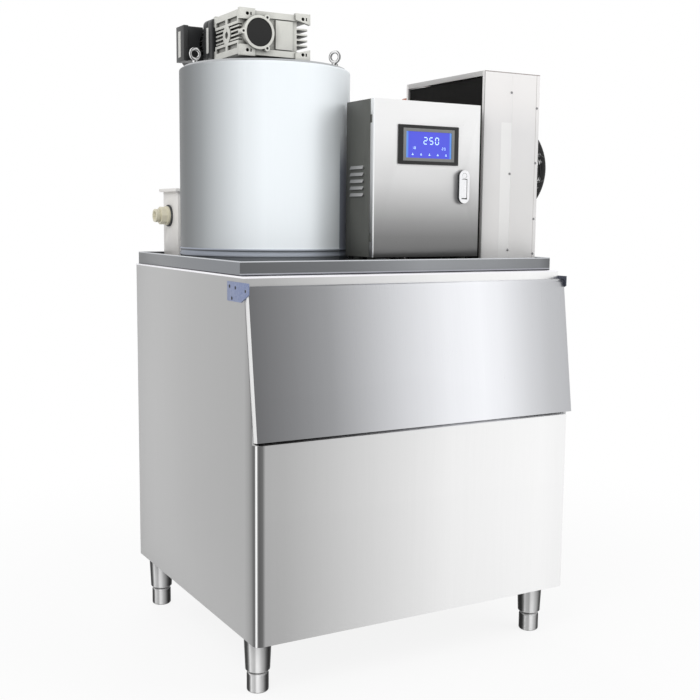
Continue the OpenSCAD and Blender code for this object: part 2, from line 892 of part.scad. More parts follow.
module gear_case() {
    wheel_r = 50;
    slot = 8;
    slot_d = 6;
    color("lightgray") in_place() translate([drum_x, drum_y, gear_z]) difference() {
        union() {
            case_block();
            case_worm_end();
            for (y = [-gear_d / 2, gear_d / 2 - case_pad - over])
                stood(y, y + case_pad + over) case_feet();
            // Wheel housing and its faces above and below
            cylinder(r = wheel_r, h = gear_h);
            // Tube of the worm with its bearing ring and lugs
            translate([-worm_off, -gear_d / 2 - ring_out, case_axis_z]) {
                rod_y(cap_r + ring_w, gear_d + ring_out);
                for (a = lug_angles) rotate([0, a, 0]) translate([lug_ring, 0, 0])
                    rod_y(lug_r, ring_out + case_pad + over);
            }
        }
        translate([0, 0, -over]) cylinder(r = hub_r + running_gap, h = gear_h + 2 * over);
        translate([-worm_off, -gear_d / 2 - ring_out - over, case_axis_z]) {
            rod_y(cap_r + seat_gap, ring_out + over);
            for (a = lug_angles) rotate([0, a, 0]) translate([lug_ring, 0, 0])
                rod_y(lug_hole_r, ring_out + case_pad);
        }
        for (p = foot_places, y = [-gear_d / 2 - over, gear_d / 2 - 2 * case_pad])
            translate([p[0], y, p[1]]) rod_y(foot_bolt_r, 2 * case_pad + over);
        // Slots cast beside the bolt holes of the front feet
        for (p = foot_places) translate([p[0] + slot, -gear_d / 2 - over, p[1] - slot / 2])
            cube([slot / 2, slot_d + over, slot]);
    }
}

module gear_end_cap() {
    cap_t = ring_out - 1;
    edge = 2;
    color("black") in_place() translate([worm_x, drum_y - gear_d / 2, worm_z]) rotate([90, 0, 0])
        rounded_disc(cap_r, cap_t, edge);
}

module output_hub() {
    color("silver") in_place() translate([drum_x, drum_y, gear_z]) difference() {
        cylinder(r = hub_r, h = gear_h + 2);
        translate([0, 0, -over]) cylinder(r = shaft_r + running_gap, h = gear_h + 2 + 2 * over);
    }
}

flange_y = drum_y + gear_d / 2;
motor_y = flange_y + flange_t;
fan_cover_y = motor_y + motor_l;
module motor_flange() {
    ear_r = 16;
    hole_r = 5;
    parting = 3;
    s = flange_side / 2 - ear_r;
    color("dimgray") in_place() translate([worm_x, flange_y, worm_z]) rotate([-90, 0, 0]) difference() {
        linear_extrude(flange_t) rounded_square(flange_side, ear_r);
        for (x = [-s, s], y = [-s, s]) translate([x, y, -over])
            cylinder(r = hole_r, h = flange_t / 2 + over);
        // Groove where the two halves of the block meet
        translate([0, 0, flange_t / 2 - parting / 2]) linear_extrude(parting) difference() {
            square(2 * flange_side, center = true);
            rounded_square(flange_side - 2 * parting, ear_r - parting);
        }
    }
}

// Square outline with round corners
module rounded_square(side, r) {
    s = side / 2 - r;
    square([side, 2 * s], center = true);
    square([2 * s, side], center = true);
    for (x = [-s, s], y = [-s, s]) translate([x, y]) circle(r);
}

motor_out = motor_r + motor_fin;
module motor_body() {
    fins = 26;
    fin_w = 3;
    fin_short = 0.4;
    bell = 12;
    color("dimgray") in_place() translate([worm_x, motor_y, worm_z]) rotate([-90, 0, 0]) {
        cylinder(r = motor_r, h = motor_l);
        cylinder(r = motor_out, h = bell);
        for (i = [0:fins - 1]) rotate((i + 0.5) * 360 / fins)
            translate([motor_r - over, -fin_w / 2, bell - over])
                cube([motor_fin + over - fin_short, fin_w, motor_l - bell + over]);
    }
}

module motor_fan_cover() {
    slots = 12;
    slot_w = 6;
    t = 1.5;
    edge = 14;
    color("dimgray") in_place() translate([worm_x, fan_cover_y, worm_z]) rotate([-90, 0, 0]) difference() {
        rounded_disc(motor_out + t, fan_cover_l, edge);
        translate([0, 0, -over]) rounded_disc(motor_out, fan_cover_l - t + over, edge - t);
        for (i = [0:slots - 1]) rotate(i * 360 / slots)
            translate([motor_r / 4, -slot_w / 2, fan_cover_l - 2 * t]) cube([motor_r / 2, slot_w, 4 * t]);
    }
}

// Terminal box on the motor's left side, its lid facing out
terminal_back = 30;
module terminal_box() {
    w = 58;
    l = 54;
    h = 92;
    lid = 14;
    lid_out = 2;
    sunk = 10;
    color("dimgray") in_place() translate([worm_x, motor_y + terminal_back, worm_z]) difference() {
        union() {
            translate([sunk - motor_out - w, 0, -h / 2]) cube([w, l, h]);
            translate([sunk - motor_out - w, -lid_out, -h / 2 - lid_out])
                cube([lid, l + 2 * lid_out, h + 2 * lid_out]);
        }
        translate([0, -over - lid_out, 0]) rod_y(motor_out, l + 2 * lid_out + 2 * over);
    }
}

// Control box
box_foot = tray_floor;
box_z = tray_floor + box_foot_h;
box_top = box_z + box_h;
case_y = box_y + box_door_t + box_door_gap;
hinge_x = box_x + 3;
hinge_y = box_y + box_door_t - 3;
hinge_zs = [box_z + 50, box_top - 50];
hinge_pin_r = 2;
hinge_lug_h = 20;
hinge_lug_r = 3;
module control_box() {
    rim = 14;
    d = box_back - case_y;
    mid = box_z + box_h / 2;
    louvre_zs = [for (i = [0:louvre_count - 1]) mid + (i - louvre_count / 2) * louvre_pitch];
    louvre_back = 24;
    slot_h = 5;
    hood = 4;
    foot_r = 12;
    foot_in = 24;
    color("silver") in_place() {
        difference() {
            translate([box_x, case_y, box_z]) cube([box_w, d, box_h]);
            translate([box_x + box_skin, case_y + box_skin, box_z + box_skin])
                cube([box_w - 2 * box_skin, d - 2 * box_skin, box_h - 2 * box_skin]);
            translate([box_x + rim, case_y - over, box_z + rim])
                cube([box_w - 2 * rim, box_skin + 2 * over, box_h - 2 * rim]);
            for (z = louvre_zs) translate([box_x - over, box_back - louvre_back - louvre_l, z])
                cube([box_skin + 2 * over, louvre_l, slot_h]);
            translate([box_x + gland_in, box_back - box_skin - over, box_z + gland_up])
                rod_y(gland_r, box_skin + 2 * over);
        }
        // Louvre hoods
        for (z = louvre_zs) translate([box_x, box_back - louvre_back, z + slot_h])
            rotate([90, 0, 0]) linear_extrude(louvre_l)
                polygon([[0, 0], [0, hood], [-hood, -slot_h], [-hood, -slot_h - 1]]);
        // Feet
        for (x = [box_x + foot_in, box_x + box_w - foot_in], y = [case_y + foot_in, box_back - foot_in])
            translate([x, y, box_foot]) cylinder(r = foot_r, h = box_foot_h);
        // Hinge lugs at the left of the opening
        for (z = hinge_zs) translate([hinge_x, hinge_y, z - hinge_lug_h / 2]) difference() {
            union() {
                cylinder(r = hinge_lug_r, h = hinge_lug_h);
                translate([-1, 0, 0]) cube([2, case_y - hinge_y + box_skin / 2, hinge_lug_h]);
            }
            translate([0, 0, -over]) cylinder(r = hinge_pin_r + running_gap, h = hinge_lug_h + 2 * over);
        }
    }
}

// Door of the control box: a folded pan with cut-outs for display and latch
bezel_x = box_x + box_w / 2;
bezel_z = box_top - bezel_drop - bezel_h / 2;
latch_x = box_x + box_w - latch_side - latch_w / 2;
latch_z = box_top - latch_drop - latch_l / 2;
bezel_in = 8;
latch_in = 4;
module box_door() {
    fold = 16;
    notch = 10;
    notch_d = 8.5;
    pin_weld = 6;
    color("silver") in_place() {
        difference() {
            translate([box_x, box_y, box_z]) cube([box_w, box_door_t, box_h]);
            translate([box_x + box_skin, box_y + box_skin, box_z + box_skin])
                cube([box_w - 2 * box_skin, box_door_t - 2 * box_skin, box_h - 2 * box_skin]);
            translate([box_x + fold, box_y + box_skin, box_z + fold])
                cube([box_w - 2 * fold, box_door_t, box_h - 2 * fold]);
            translate([bezel_x - bezel_w / 2 + bezel_in, box_y - over, bezel_z - bezel_h / 2 + bezel_in])
                cube([bezel_w - 2 * bezel_in, box_skin + 2 * over, bezel_h - 2 * bezel_in]);
            translate([latch_x, box_y - over, latch_z]) rotate([-90, 0, 0])
                linear_extrude(box_skin + 2 * over) oblong(latch_w - 2 * latch_in, latch_l - 2 * latch_in);
            for (z = hinge_zs)
                translate([box_x - over, box_y + box_door_t - notch_d, z - hinge_lug_h / 2 - slide_gap])
                    cube([notch + over, notch_d + over, hinge_lug_h + 2 * slide_gap]);
        }
        // Hinge pins across the notches, welded into the folded rim
        for (z = hinge_zs) translate([hinge_x, hinge_y, z - hinge_lug_h / 2 - pin_weld])
            cylinder(r = hinge_pin_r, h = hinge_lug_h + 2 * pin_weld);
    }
}

bezel_out = 4;
module display_bezel() {
    body_d = 12;
    recess = 3;
    color("black") in_place() translate([bezel_x, box_y, bezel_z]) difference() {
        union() {
            translate([-bezel_w / 2, -bezel_out, -bezel_h / 2]) cube([bezel_w, bezel_out, bezel_h]);
            translate([-bezel_w / 2 + bezel_in, -bezel_out, -bezel_h / 2 + bezel_in])
                cube([bezel_w - 2 * bezel_in, bezel_out + body_d, bezel_h - 2 * bezel_in]);
        }
        translate([-screen_w / 2, -bezel_out - over, -screen_h / 2])
            cube([screen_w, recess + over, screen_h]);
    }
}

module display_screen() {
    t = 2;
    color("royalblue") in_place()
        translate([bezel_x - screen_w / 2, box_y - bezel_out + 1, bezel_z - screen_h / 2])
            cube([screen_w, t, screen_h]);
}

// Latch: oval plate with a swing handle in it and a push button above the handle
latch_out = 9;
latch_deep = 10;
handle_w = 17;
handle_l = 50;
handle_t = 6;
handle_low = -31;
handle_pin_r = 2;
handle_pin_y = -latch_out + handle_t / 2 + 1;
button_r = 7;
button_up = 29;
button_travel = 3;
button_floor = 2;
module latch_plate() {
    color("lightgray") in_place() translate([latch_x, box_y, latch_z]) difference() {
        union() {
            translate([0, -latch_out, 0]) rotate([-90, 0, 0])
                linear_extrude(latch_out) oblong(latch_w, latch_l);
            translate([0, -latch_out, 0]) rotate([-90, 0, 0])
                linear_extrude(latch_out + latch_deep)
                    oblong(latch_w - 2 * latch_in, latch_l - 2 * latch_in);
        }
        translate([-handle_w / 2 - slide_gap, -latch_out - over, handle_low - 2])
            cube([handle_w + 2 * slide_gap, handle_t + 2 + over, handle_l + 4]);
        translate([-handle_w / 2 - 3, handle_pin_y, handle_low + handle_t / 2])
            rod_x(handle_pin_r + running_gap, handle_w + 6);
        translate([0, -latch_out - over, button_up])
            rod_y(button_r + slide_gap, latch_out + latch_deep - button_floor + over);
    }
}

module latch_handle() {
    color("gainsboro") in_place() translate([latch_x, box_y - latch_out + 1, latch_z + handle_low]) {
        translate([-handle_w / 2, 0, handle_t / 2]) cube([handle_w, handle_t, handle_l - handle_t / 2]);
        translate([-handle_w / 2, handle_t / 2, handle_t / 2]) rod_x(handle_t / 2, handle_w);
        translate([-handle_w / 2 - 2.5, handle_t / 2, handle_t / 2]) rod_x(handle_pin_r, handle_w + 5);
    }
}

module latch_button() {
    color("gray") in_place() translate([latch_x, box_y - latch_out, latch_z + button_up])
        rod_y(button_r, latch_out + latch_deep - button_floor - button_travel - slide_gap);
}

// Inside the control box
plate_t = 3;
plate_in = 24;
plate_y = box_back - box_skin - plate_t;
module mounting_plate() {
    color("gainsboro") in_place() translate([box_x + plate_in, plate_y, box_z + 2 * plate_in])
        cube([box_w - 2 * plate_in, plate_t, box_h - 3 * plate_in]);
}

module contactors() {
    w = 45;
    h = 76;
    d = 58;
    step = 16;
    color("whitesmoke") in_place() for (i = [0:2])
        translate([box_x + 2 * plate_in + i * (w + step), plate_y, box_z + box_h / 2]) {
            translate([0, -d, 0]) cube([w, d, h]);
            translate([w / 6, -d - step / 2, h / 4]) cube([w * 2 / 3, step, h / 2]);
        }
}

// Place of the gland from the box's left side and bottom
gland_in = 108;
gland_up = 30;
gland_r = gland_bore_r + 4;
module cable_gland() {
    nut_r = gland_r + 4;
    out = 22;
    inner = 5;
    color("black") in_place() translate([box_x + gland_in, box_back, box_z + gland_up]) difference() {
        union() {
            translate([0, -box_skin - inner, 0]) rod_y(gland_r - seat_gap / 2, box_skin + inner + out);
            rotate([-90, 0, 0]) cylinder(r = nut_r, h = out / 2, $fn = 6);
        }
        translate([0, -box_skin - inner - over, 0]) rod_y(gland_bore_r, box_skin + inner + out + 2 * over);
    }
}

// Condenser
cond_back = cond_y + cond_l;
cond_top = tray_floor + cond_h;
fan_y = cond_y + cond_l / 2;
fan_drop = 252;
fan_z = cond_top - fan_drop;
rail_h = 14;
fin_edge = 6;
module condenser_coil() {
    fins_x = coil_x + fin_edge;
    fins_w = coil_w - 2 * fin_edge;
    low = tray_floor + rail_h + 2;
    fins_h = cond_h - 2 * rail_h - 4;
    first = cond_y + skin + 8;
    pitch = (cond_l - 2 * skin - 16 - fin_t) / (fin_count - 1);
    row = fins_h / tube_rows;
    color("black") in_place() {
        for (i = [0:fin_count - 1]) translate([fins_x, first + i * pitch, low])
            cube([fins_w, fin_t, fins_h]);
        for (x = [1, 3], i = [0:tube_rows - 1])
            translate([fins_x + x * fins_w / 4, cond_y + skin, low + (i + 0.5) * row])
                rod_y(tube_r, cond_l - 2 * skin);
    }
}

module coil_end_panels() {
    hem = 10;
    color("white") in_place() for (front = [true, false])
        translate([coil_x, front ? cond_y : cond_back - skin, tray_floor]) {
            cube([coil_w, skin, cond_h]);
            translate([0, front ? 0 : skin - hem, 0]) cube([skin, hem, cond_h]);
        }
}

module coil_rails() {
    hem = 10;
    y = cond_y + hem;
    l = cond_l - 2 * hem;
    color("gainsboro") in_place() {
        translate([coil_x, y, cond_top - skin]) cube([coil_w, l, skin]);
        translate([coil_x, y, cond_top - rail_h]) cube([skin, l, rail_h]);
        translate([coil_x, y, tray_floor]) cube([coil_w, l, skin]);
        translate([coil_x, y, tray_floor]) cube([skin, l, rail_h]);
    }
}

opening_r = fan_r + 6;
module fan_shroud() {
    lip = 10;
    color("white") in_place() difference() {
        union() {
            difference() {
                translate([shroud_x, cond_y, tray_floor]) cube([shroud_w, cond_l, cond_h]);
                translate([shroud_x - over, cond_y + skin, tray_floor + skin])
                    cube([shroud_w - skin + over, cond_l - 2 * skin, cond_h - 2 * skin]);
            }
            translate([cond_end - lip, fan_y, fan_z]) rod_x(opening_r + skin, lip);
        }
        translate([cond_end - lip - over, fan_y, fan_z]) rod_x(opening_r, lip + 2 * over);
    }
}

// Domed guard: rings on ribs that run from the base ring to the hub plate
guard_hub_r = 46;
guard_plate_t = 3;
ring_angles = [12:12:84];

// Section of the dome from its base to its hub plate: radius and distance from the shroud
function dome_point(a, inset) = [
    guard_hub_r + (guard_r - guard_hub_r - inset) * cos(a),
    (guard_out - inset) * sin(a)
];
function rib_edge(inset) = concat(
    [for (a = [0:10:90]) dome_point(a, inset)],
    [[guard_hub_r - guard_bar, guard_out - inset]]
);

module guard_ring(point) {
    rotate_extrude() translate([point[0] - guard_bar, point[1] - guard_bar]) square(guard_bar);
}

module fan_guard() {
    ribs = 8;
    base_w = 14;
    inner = rib_edge(guard_bar);
    turned = [for (i = [len(inner) - 1:-1:0]) inner[i]];
    color("black") in_place() translate([cond_end, fan_y, fan_z]) rotate([0, 90, 0]) {
        rotate_extrude() translate([guard_r - base_w, 0]) square([base_w, guard_bar]);
        for (a = ring_angles) guard_ring(dome_point(a, 0));
        translate([0, 0, guard_out - guard_plate_t]) cylinder(r = guard_hub_r, h = guard_plate_t);
        for (i = [0:ribs - 1]) rotate((i + 0.5) * 360 / ribs) rotate([90, 0, 0])
            translate([0, 0, -guard_bar / 2]) linear_extrude(guard_bar)
                polygon(concat(rib_edge(0), turned));
    }
}

fan_shaft_r = 6;
stator_l = 52;
rotor_l = 56;
rotor_gap = 2;
can_end = 8;
stator_x = guard_tip - guard_plate_t - seat_gap - stator_l;
module fan_motor() {
    shaft_l = rotor_l - can_end;
    color("dimgray") in_place() translate([stator_x, fan_y, fan_z]) {
        rod_x(guard_hub_r - guard_bar - seat_gap, stator_l);
        translate([-shaft_l, 0, 0]) rod_x(fan_shaft_r, shaft_l + over);
    }
}

// Outer-rotor fan: a can with pitched blades
module fan_rotor() {
    can_r = guard_hub_r - 2;
    blade_t = 3;
    blade_root = 4;
    chord = 58;
    pitch = 28;
    x = stator_x - rotor_gap - rotor_l;
    color("black") in_place() translate([x, fan_y, fan_z]) rotate([0, 90, 0]) difference() {
        union() {
            cylinder(r = can_r, h = rotor_l);
            intersection() {
                for (i = [0:blade_count - 1]) rotate(i * 360 / blade_count) translate([0, 0, rotor_l / 2])
                    rotate([pitch, 0, 0]) translate([can_r - blade_root, -chord / 2, -blade_t / 2])
                        cube([fan_r, chord, blade_t]);
                cylinder(r = fan_r, h = rotor_l);
            }
        }
        translate([0, 0, can_end - over]) cylinder(r = fan_shaft_r + running_gap, h = rotor_l);
    }
}

// Refrigeration pieces behind the control box
comp_x = coil_x - comp_r - 38;
// Room behind the control box for its cables and the condenser's air
back_room = 260;
comp_y = box_back + comp_r + back_room;
comp_foot = 22;
module compressor() {
    dome = 40;
    plate_t = 4;
    plate_w = 2 * comp_r + 16;
    grommet_r = 13;
    color("black") in_place() translate([comp_x, comp_y, tray_floor]) {
        translate([0, 0, comp_foot]) rotate_extrude() intersection() {
            union() {
                rounded_half(comp_r, comp_h, dome);
                square([comp_r, comp_h / 2]);
            }
            square([comp_r, comp_h]);
        }
        translate([-plate_w / 2, -plate_w / 2, comp_foot - plate_t]) cube([plate_w, plate_w, plate_t]);
        for (x = [-1, 1], y = [-1, 1]) translate([x, y, 0] * (plate_w / 2 - grommet_r))
            cylinder(r = grommet_r, h = comp_foot);
    }
}

receiver_x = shroud_x - 6;
// Room behind the condenser for the discharge pipe
riser_room = 115;
receiver_y = cond_back + receiver_r + riser_room;
module receiver() {
    foot_t = 4;
    edge = 20;
    color("black") in_place() translate([receiver_x, receiver_y, tray_floor]) {
        rounded_disc(receiver_r, receiver_h, edge);
        cylinder(r = receiver_r + 12, h = foot_t);
    }
}

// A pipe swept along points with round bends: rings carried along without twist
function tangent(p, i) = unit(p[min(i + 1, len(p) - 1)] - p[max(i - 1, 0)]);
function carried(v, t) = unit(v - t * (v * t));
function ring_starts(p, i, v) = i >= len(p) ? [] :
    let(m = carried(v, tangent(p, i))) concat([m], ring_starts(p, i + 1, m));
function bend(a, b, c, r, steps) =
    let(u = unit(a - b), v = unit(c - b), o = b + r * (u + v))
    [for (k = [0:steps]) let(g = 90 * k / steps) o - r * (v * cos(g) + u * sin(g))];
function route(pts, r) = concat(
    [pts[0]],
    [for (i = [1:len(pts) - 2]) each bend(pts[i - 1], pts[i], pts[i + 1], r, 4)],
    [pts[len(pts) - 1]]
);

module pipe(points, r, bend_r) {
    sides = 12;
    p = route(points, bend_r);
    first = tangent(p, 0);
    starts = ring_starts(p, 0, abs(first[2]) < 0.5 ? [0, 0, 1] : [1, 0, 0]);
    rings = len(p);
    skin_points = [for (i = [0:rings - 1], k = [0:sides - 1])
        let(t = tangent(p, i), v = starts[i], w = cross(t, v), g = 360 * k / sides)
        p[i] + r * (v * cos(g) + w * sin(g))];
    walls = [for (i = [0:rings - 2], k = [0:sides - 1])
        let(n = (k + 1) % sides, a = i * sides, b = a + sides) [a + k, b + k, b + n, a + n]];
    ends = [[for (k = [0:sides - 1]) k], [for (k = [sides - 1:-1:0]) (rings - 1) * sides + k]];
    polyhedron(skin_points, concat(walls, ends));
}

// Room that the pipes keep from the vessels
pipe_room = 40;
pipe_end = evap_out + seat_gap + 0.2;
module suction_pipe() {
    color("peru") in_place() pipe([
        [drum_x + pipe_end, drum_y, port_suction_z],
        [comp_x, drum_y, port_suction_z],
        [comp_x, comp_y, port_suction_z],
        [comp_x, comp_y, tray_floor + comp_foot + comp_h]
    ], suction_r, 3 * suction_r);
}

module liquid_pipe() {
    run_y = receiver_y + receiver_r + pipe_room;
    top = tray_floor + receiver_h;
    run_z = tray_floor + comp_foot + comp_h + pipe_room;
    run_x = drum_x + drum_r + pipe_room;
    color("peru") in_place() pipe([
        [receiver_x, receiver_y, top],
        [receiver_x, receiver_y, run_z],
        [receiver_x, run_y, run_z],
        [run_x, run_y, run_z],
        [run_x, drum_y, run_z],
        [run_x, drum_y, port_liquid_z],
        [drum_x + pipe_end, drum_y, port_liquid_z]
    ], liquid_r, 3 * liquid_r);
}

module discharge_pipe() {
    z = tray_floor + comp_foot + comp_h / 2;
    x = coil_x + fin_edge + (coil_w - 2 * fin_edge) / 4;
    high = cond_top - pipe_room;
    color("peru") in_place() pipe([
        [comp_x + comp_r + seat_gap, comp_y, z],
        [x, comp_y, z],
        [x, comp_y, high],
        [x, cond_back + seat_gap, high]
    ], liquid_r, 3 * liquid_r);
}

// Water tank with its lid, inlet fitting and float
inlet_y = tank_y + tank_d * 0.6;
inlet_z = tray_floor + tank_h * 0.65;
inlet_stub_r = inlet_bore_r + 4;
module water_tank() {
    color("white") in_place() difference() {
        translate([tank_x, tank_y, tray_floor]) cube([tank_w, tank_d, tank_h]);
        translate([tank_x + tank_wall, tank_y + tank_wall, tray_floor + tank_wall])
            cube([tank_w - 2 * tank_wall, tank_d - 2 * tank_wall, tank_h]);
        translate([tank_x - over, inlet_y, inlet_z]) rod_x(inlet_stub_r + seat_gap, tank_wall + 2 * over);
    }
}

module tank_lid() {
    t = 3;
    skirt = 6;
    gap = seat_gap;
    low = tray_floor + tank_h - skirt;
    color("white") in_place() difference() {
        lid_block(lid_over, low, skirt + t);
        lid_block(gap, low - over, skirt + over);
        // Hollow between the rim on the tank and the skirt
        difference() {
            lid_block(lid_over - t, low - over, skirt + over);
            lid_block(gap + t, low - 2 * over, skirt + 3 * over);
        }
    }
}

// Block over the tank's outline, larger by out all round
module lid_block(out, low, h) {
    translate([tank_x - out, tank_y - out, low]) cube([tank_w + 2 * out, tank_d + 2 * out, h]);
}

module tank_gasket() {
    gasket_r = inlet_r + 4;
    color("dimgray") in_place() translate([tank_x - gasket_t, inlet_y, inlet_z]) difference() {
        rod_x(gasket_r, gasket_t);
        translate([-over, 0, 0]) rod_x(inlet_stub_r + seat_gap, gasket_t + 2 * over);
    }
}

valve_in = 16;
arm_r = 2.5;
float_hang = 35;
arm_pivot_x = tank_x + tank_wall + valve_in + 5;
module tank_fitting() {
    flange = 7;
    nut_l = 18;
    ear_t = 4;
    ear_l = 12;
    fork_y = arm_r + slide_gap + ear_t / 2;
    color("cornsilk") in_place() translate([tank_x - gasket_t, inlet_y, inlet_z]) difference() {
        union() {
            translate([-inlet_l, 0, 0]) rod_x(inlet_stub_r, inlet_l + gasket_t + tank_wall + valve_in);
            translate([-flange, 0, 0]) rod_x(inlet_r, flange);
            translate([-flange - nut_l, 0, 0]) rotate([0, 90, 0])
                cylinder(r = inlet_r - 2, h = nut_l, $fn = 8);
            translate([-inlet_l, 0, 0]) rod_x(inlet_stub_r + 2, inlet_l - flange - nut_l - 3);
            // Fork for the float's arm, inside the tank
            for (s = [-1, 1])
                translate([gasket_t + tank_wall + valve_in - over, s * fork_y - ear_t / 2, -ear_l / 2])
                    cube([ear_l, ear_t, ear_l]);
        }
        translate([-inlet_l - over, 0, 0])
            rod_x(inlet_bore_r, inlet_l + gasket_t + tank_wall + valve_in / 2);
        translate([gasket_t + tank_wall + valve_in + 5, -20, 0]) rod_y(2 + running_gap, 40);
    }
}

module float_arm() {
    reach = tank_w * 0.5;
    color("orange") in_place() translate([arm_pivot_x, inlet_y, inlet_z]) rotate([0, float_hang, 0]) {
        rod_x(arm_r, reach);
        translate([0, -arm_r, 0]) rod_y(3.4, 2 * arm_r);
        translate([0, -8, 0]) rod_y(2, 16);
        translate([reach + float_r - 2, 0, 0]) sphere(float_r);
    }
}

bin_shell();
bin_insulation();
bin_liner();
mouth_trim();
bin_door();
door_core();
left_hinge_bracket();
right_hinge_bracket();
drain_stub();
leg_sleeves();
foot_front_left();
foot_front_right();
foot_back_left();
foot_back_right();
tray();
drum_base();
drum_jacket();
drum_insulation();
evaporator();
drum_cover();
lifting_eyes();
lower_spider();
main_shaft();
ice_scraper();
water_pan();
gear_mount();
gear_case();
gear_end_cap();
output_hub();
motor_flange();
motor_body();
motor_fan_cover();
terminal_box();
control_box();
box_door();
display_bezel();
display_screen();
latch_plate();
latch_handle();
latch_button();
mounting_plate();
contactors();
cable_gland();
condenser_coil();
coil_end_panels();
coil_rails();
fan_shroud();
fan_guard();
fan_motor();
fan_rotor();
compressor();
receiver();
suction_pipe();
liquid_pipe();
discharge_pipe();
water_tank();
tank_lid();
tank_gasket();
tank_fitting();
float_arm();
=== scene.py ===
"""Flake ice machine: finishes, small fasteners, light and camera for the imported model."""
import json
import math

import bmesh
import bpy
from mathutils import Matrix, Vector

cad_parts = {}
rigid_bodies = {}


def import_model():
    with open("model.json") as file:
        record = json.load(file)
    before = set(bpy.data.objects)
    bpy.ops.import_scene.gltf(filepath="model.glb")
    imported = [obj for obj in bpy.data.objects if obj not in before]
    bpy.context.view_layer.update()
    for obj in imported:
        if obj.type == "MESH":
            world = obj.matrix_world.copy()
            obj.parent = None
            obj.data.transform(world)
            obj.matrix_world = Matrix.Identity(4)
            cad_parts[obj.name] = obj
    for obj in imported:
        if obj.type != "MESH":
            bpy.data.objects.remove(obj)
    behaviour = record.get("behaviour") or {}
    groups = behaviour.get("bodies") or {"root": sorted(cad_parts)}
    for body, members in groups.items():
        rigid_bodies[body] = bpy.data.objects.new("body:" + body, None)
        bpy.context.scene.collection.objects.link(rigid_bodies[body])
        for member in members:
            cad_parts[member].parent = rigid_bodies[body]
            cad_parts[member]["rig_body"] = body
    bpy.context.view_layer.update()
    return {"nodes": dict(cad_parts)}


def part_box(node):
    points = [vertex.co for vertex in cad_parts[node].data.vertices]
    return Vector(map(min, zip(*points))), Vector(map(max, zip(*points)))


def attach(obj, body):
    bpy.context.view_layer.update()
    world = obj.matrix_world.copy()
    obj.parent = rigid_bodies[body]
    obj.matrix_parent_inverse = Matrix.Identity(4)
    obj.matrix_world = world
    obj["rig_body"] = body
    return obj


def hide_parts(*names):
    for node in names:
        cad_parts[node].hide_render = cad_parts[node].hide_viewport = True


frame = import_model()

NODES = frame["nodes"]
BODY_OF = {node: piece["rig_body"] for node, piece in NODES.items()}
MM = 0.001


def tone(red, green=None, blue=None):
    """Linear colour of a screen tone from 0 to 255, grey if only one number is given."""
    levels = (red, red, red) if green is None else (red, green, blue)
    linear = [v / 255 / 12.92 if v <= 10 else ((v / 255 + 0.055) / 1.055) ** 2.4 for v in levels]
    return (*linear, 1.0)


class Wire:
    """A node's socket; Python's operators on it add Math nodes."""

    def __init__(self, graph, socket):
        self.graph = graph
        self.socket = socket

    def math(self, operation, first, second=0.0):
        return self.graph.add("ShaderNodeMath", {"operation": operation}, {0: first, 1: second})

    def __add__(self, other):
        return self.math("ADD", self, other)

    def __radd__(self, other):
        return self.math("ADD", other, self)

    def __sub__(self, other):
        return self.math("SUBTRACT", self, other)

    def __rsub__(self, other):
        return self.math("SUBTRACT", other, self)

    def __mul__(self, other):
        return self.math("MULTIPLY", self, other)

    def __rmul__(self, other):
        return self.math("MULTIPLY", other, self)

    def __truediv__(self, other):
        return self.math("DIVIDE", self, other)

    def __rtruediv__(self, other):
        return self.math("DIVIDE", other, self)

    def above(self, limit):
        return self.math("GREATER_THAN", self, limit)

    def below(self, limit):
        return self.math("LESS_THAN", self, limit)


class Graph:
    """A node tree that is filled by one method."""

    def __init__(self, tree):
        self.tree = tree

    def add(self, kind, settings=None, sockets=None, out=0):
        node = self.tree.nodes.new(kind)
        for key, value in (settings or {}).items():
            if key == "stops":
                self.set_stops(node.color_ramp, value)
            else:
                setattr(node, key, value)
        for key, value in (sockets or {}).items():
            for wire in value if isinstance(value, list) else [value]:
                if isinstance(wire, Wire):
                    self.tree.links.new(wire.socket, node.inputs[key])
                else:
                    node.inputs[key].default_value = wire
        return Wire(self, node.outputs[out]) if len(node.outputs) else node

    @staticmethod
    def set_stops(ramp, stops):
        while len(ramp.elements) > 1:
            ramp.elements.remove(ramp.elements[-1])
        ramp.elements[0].position = stops[0][0]
        ramp.elements[0].color = stops[0][1]
        for place, colour in stops[1:]:
            ramp.elements.new(place).color = colour


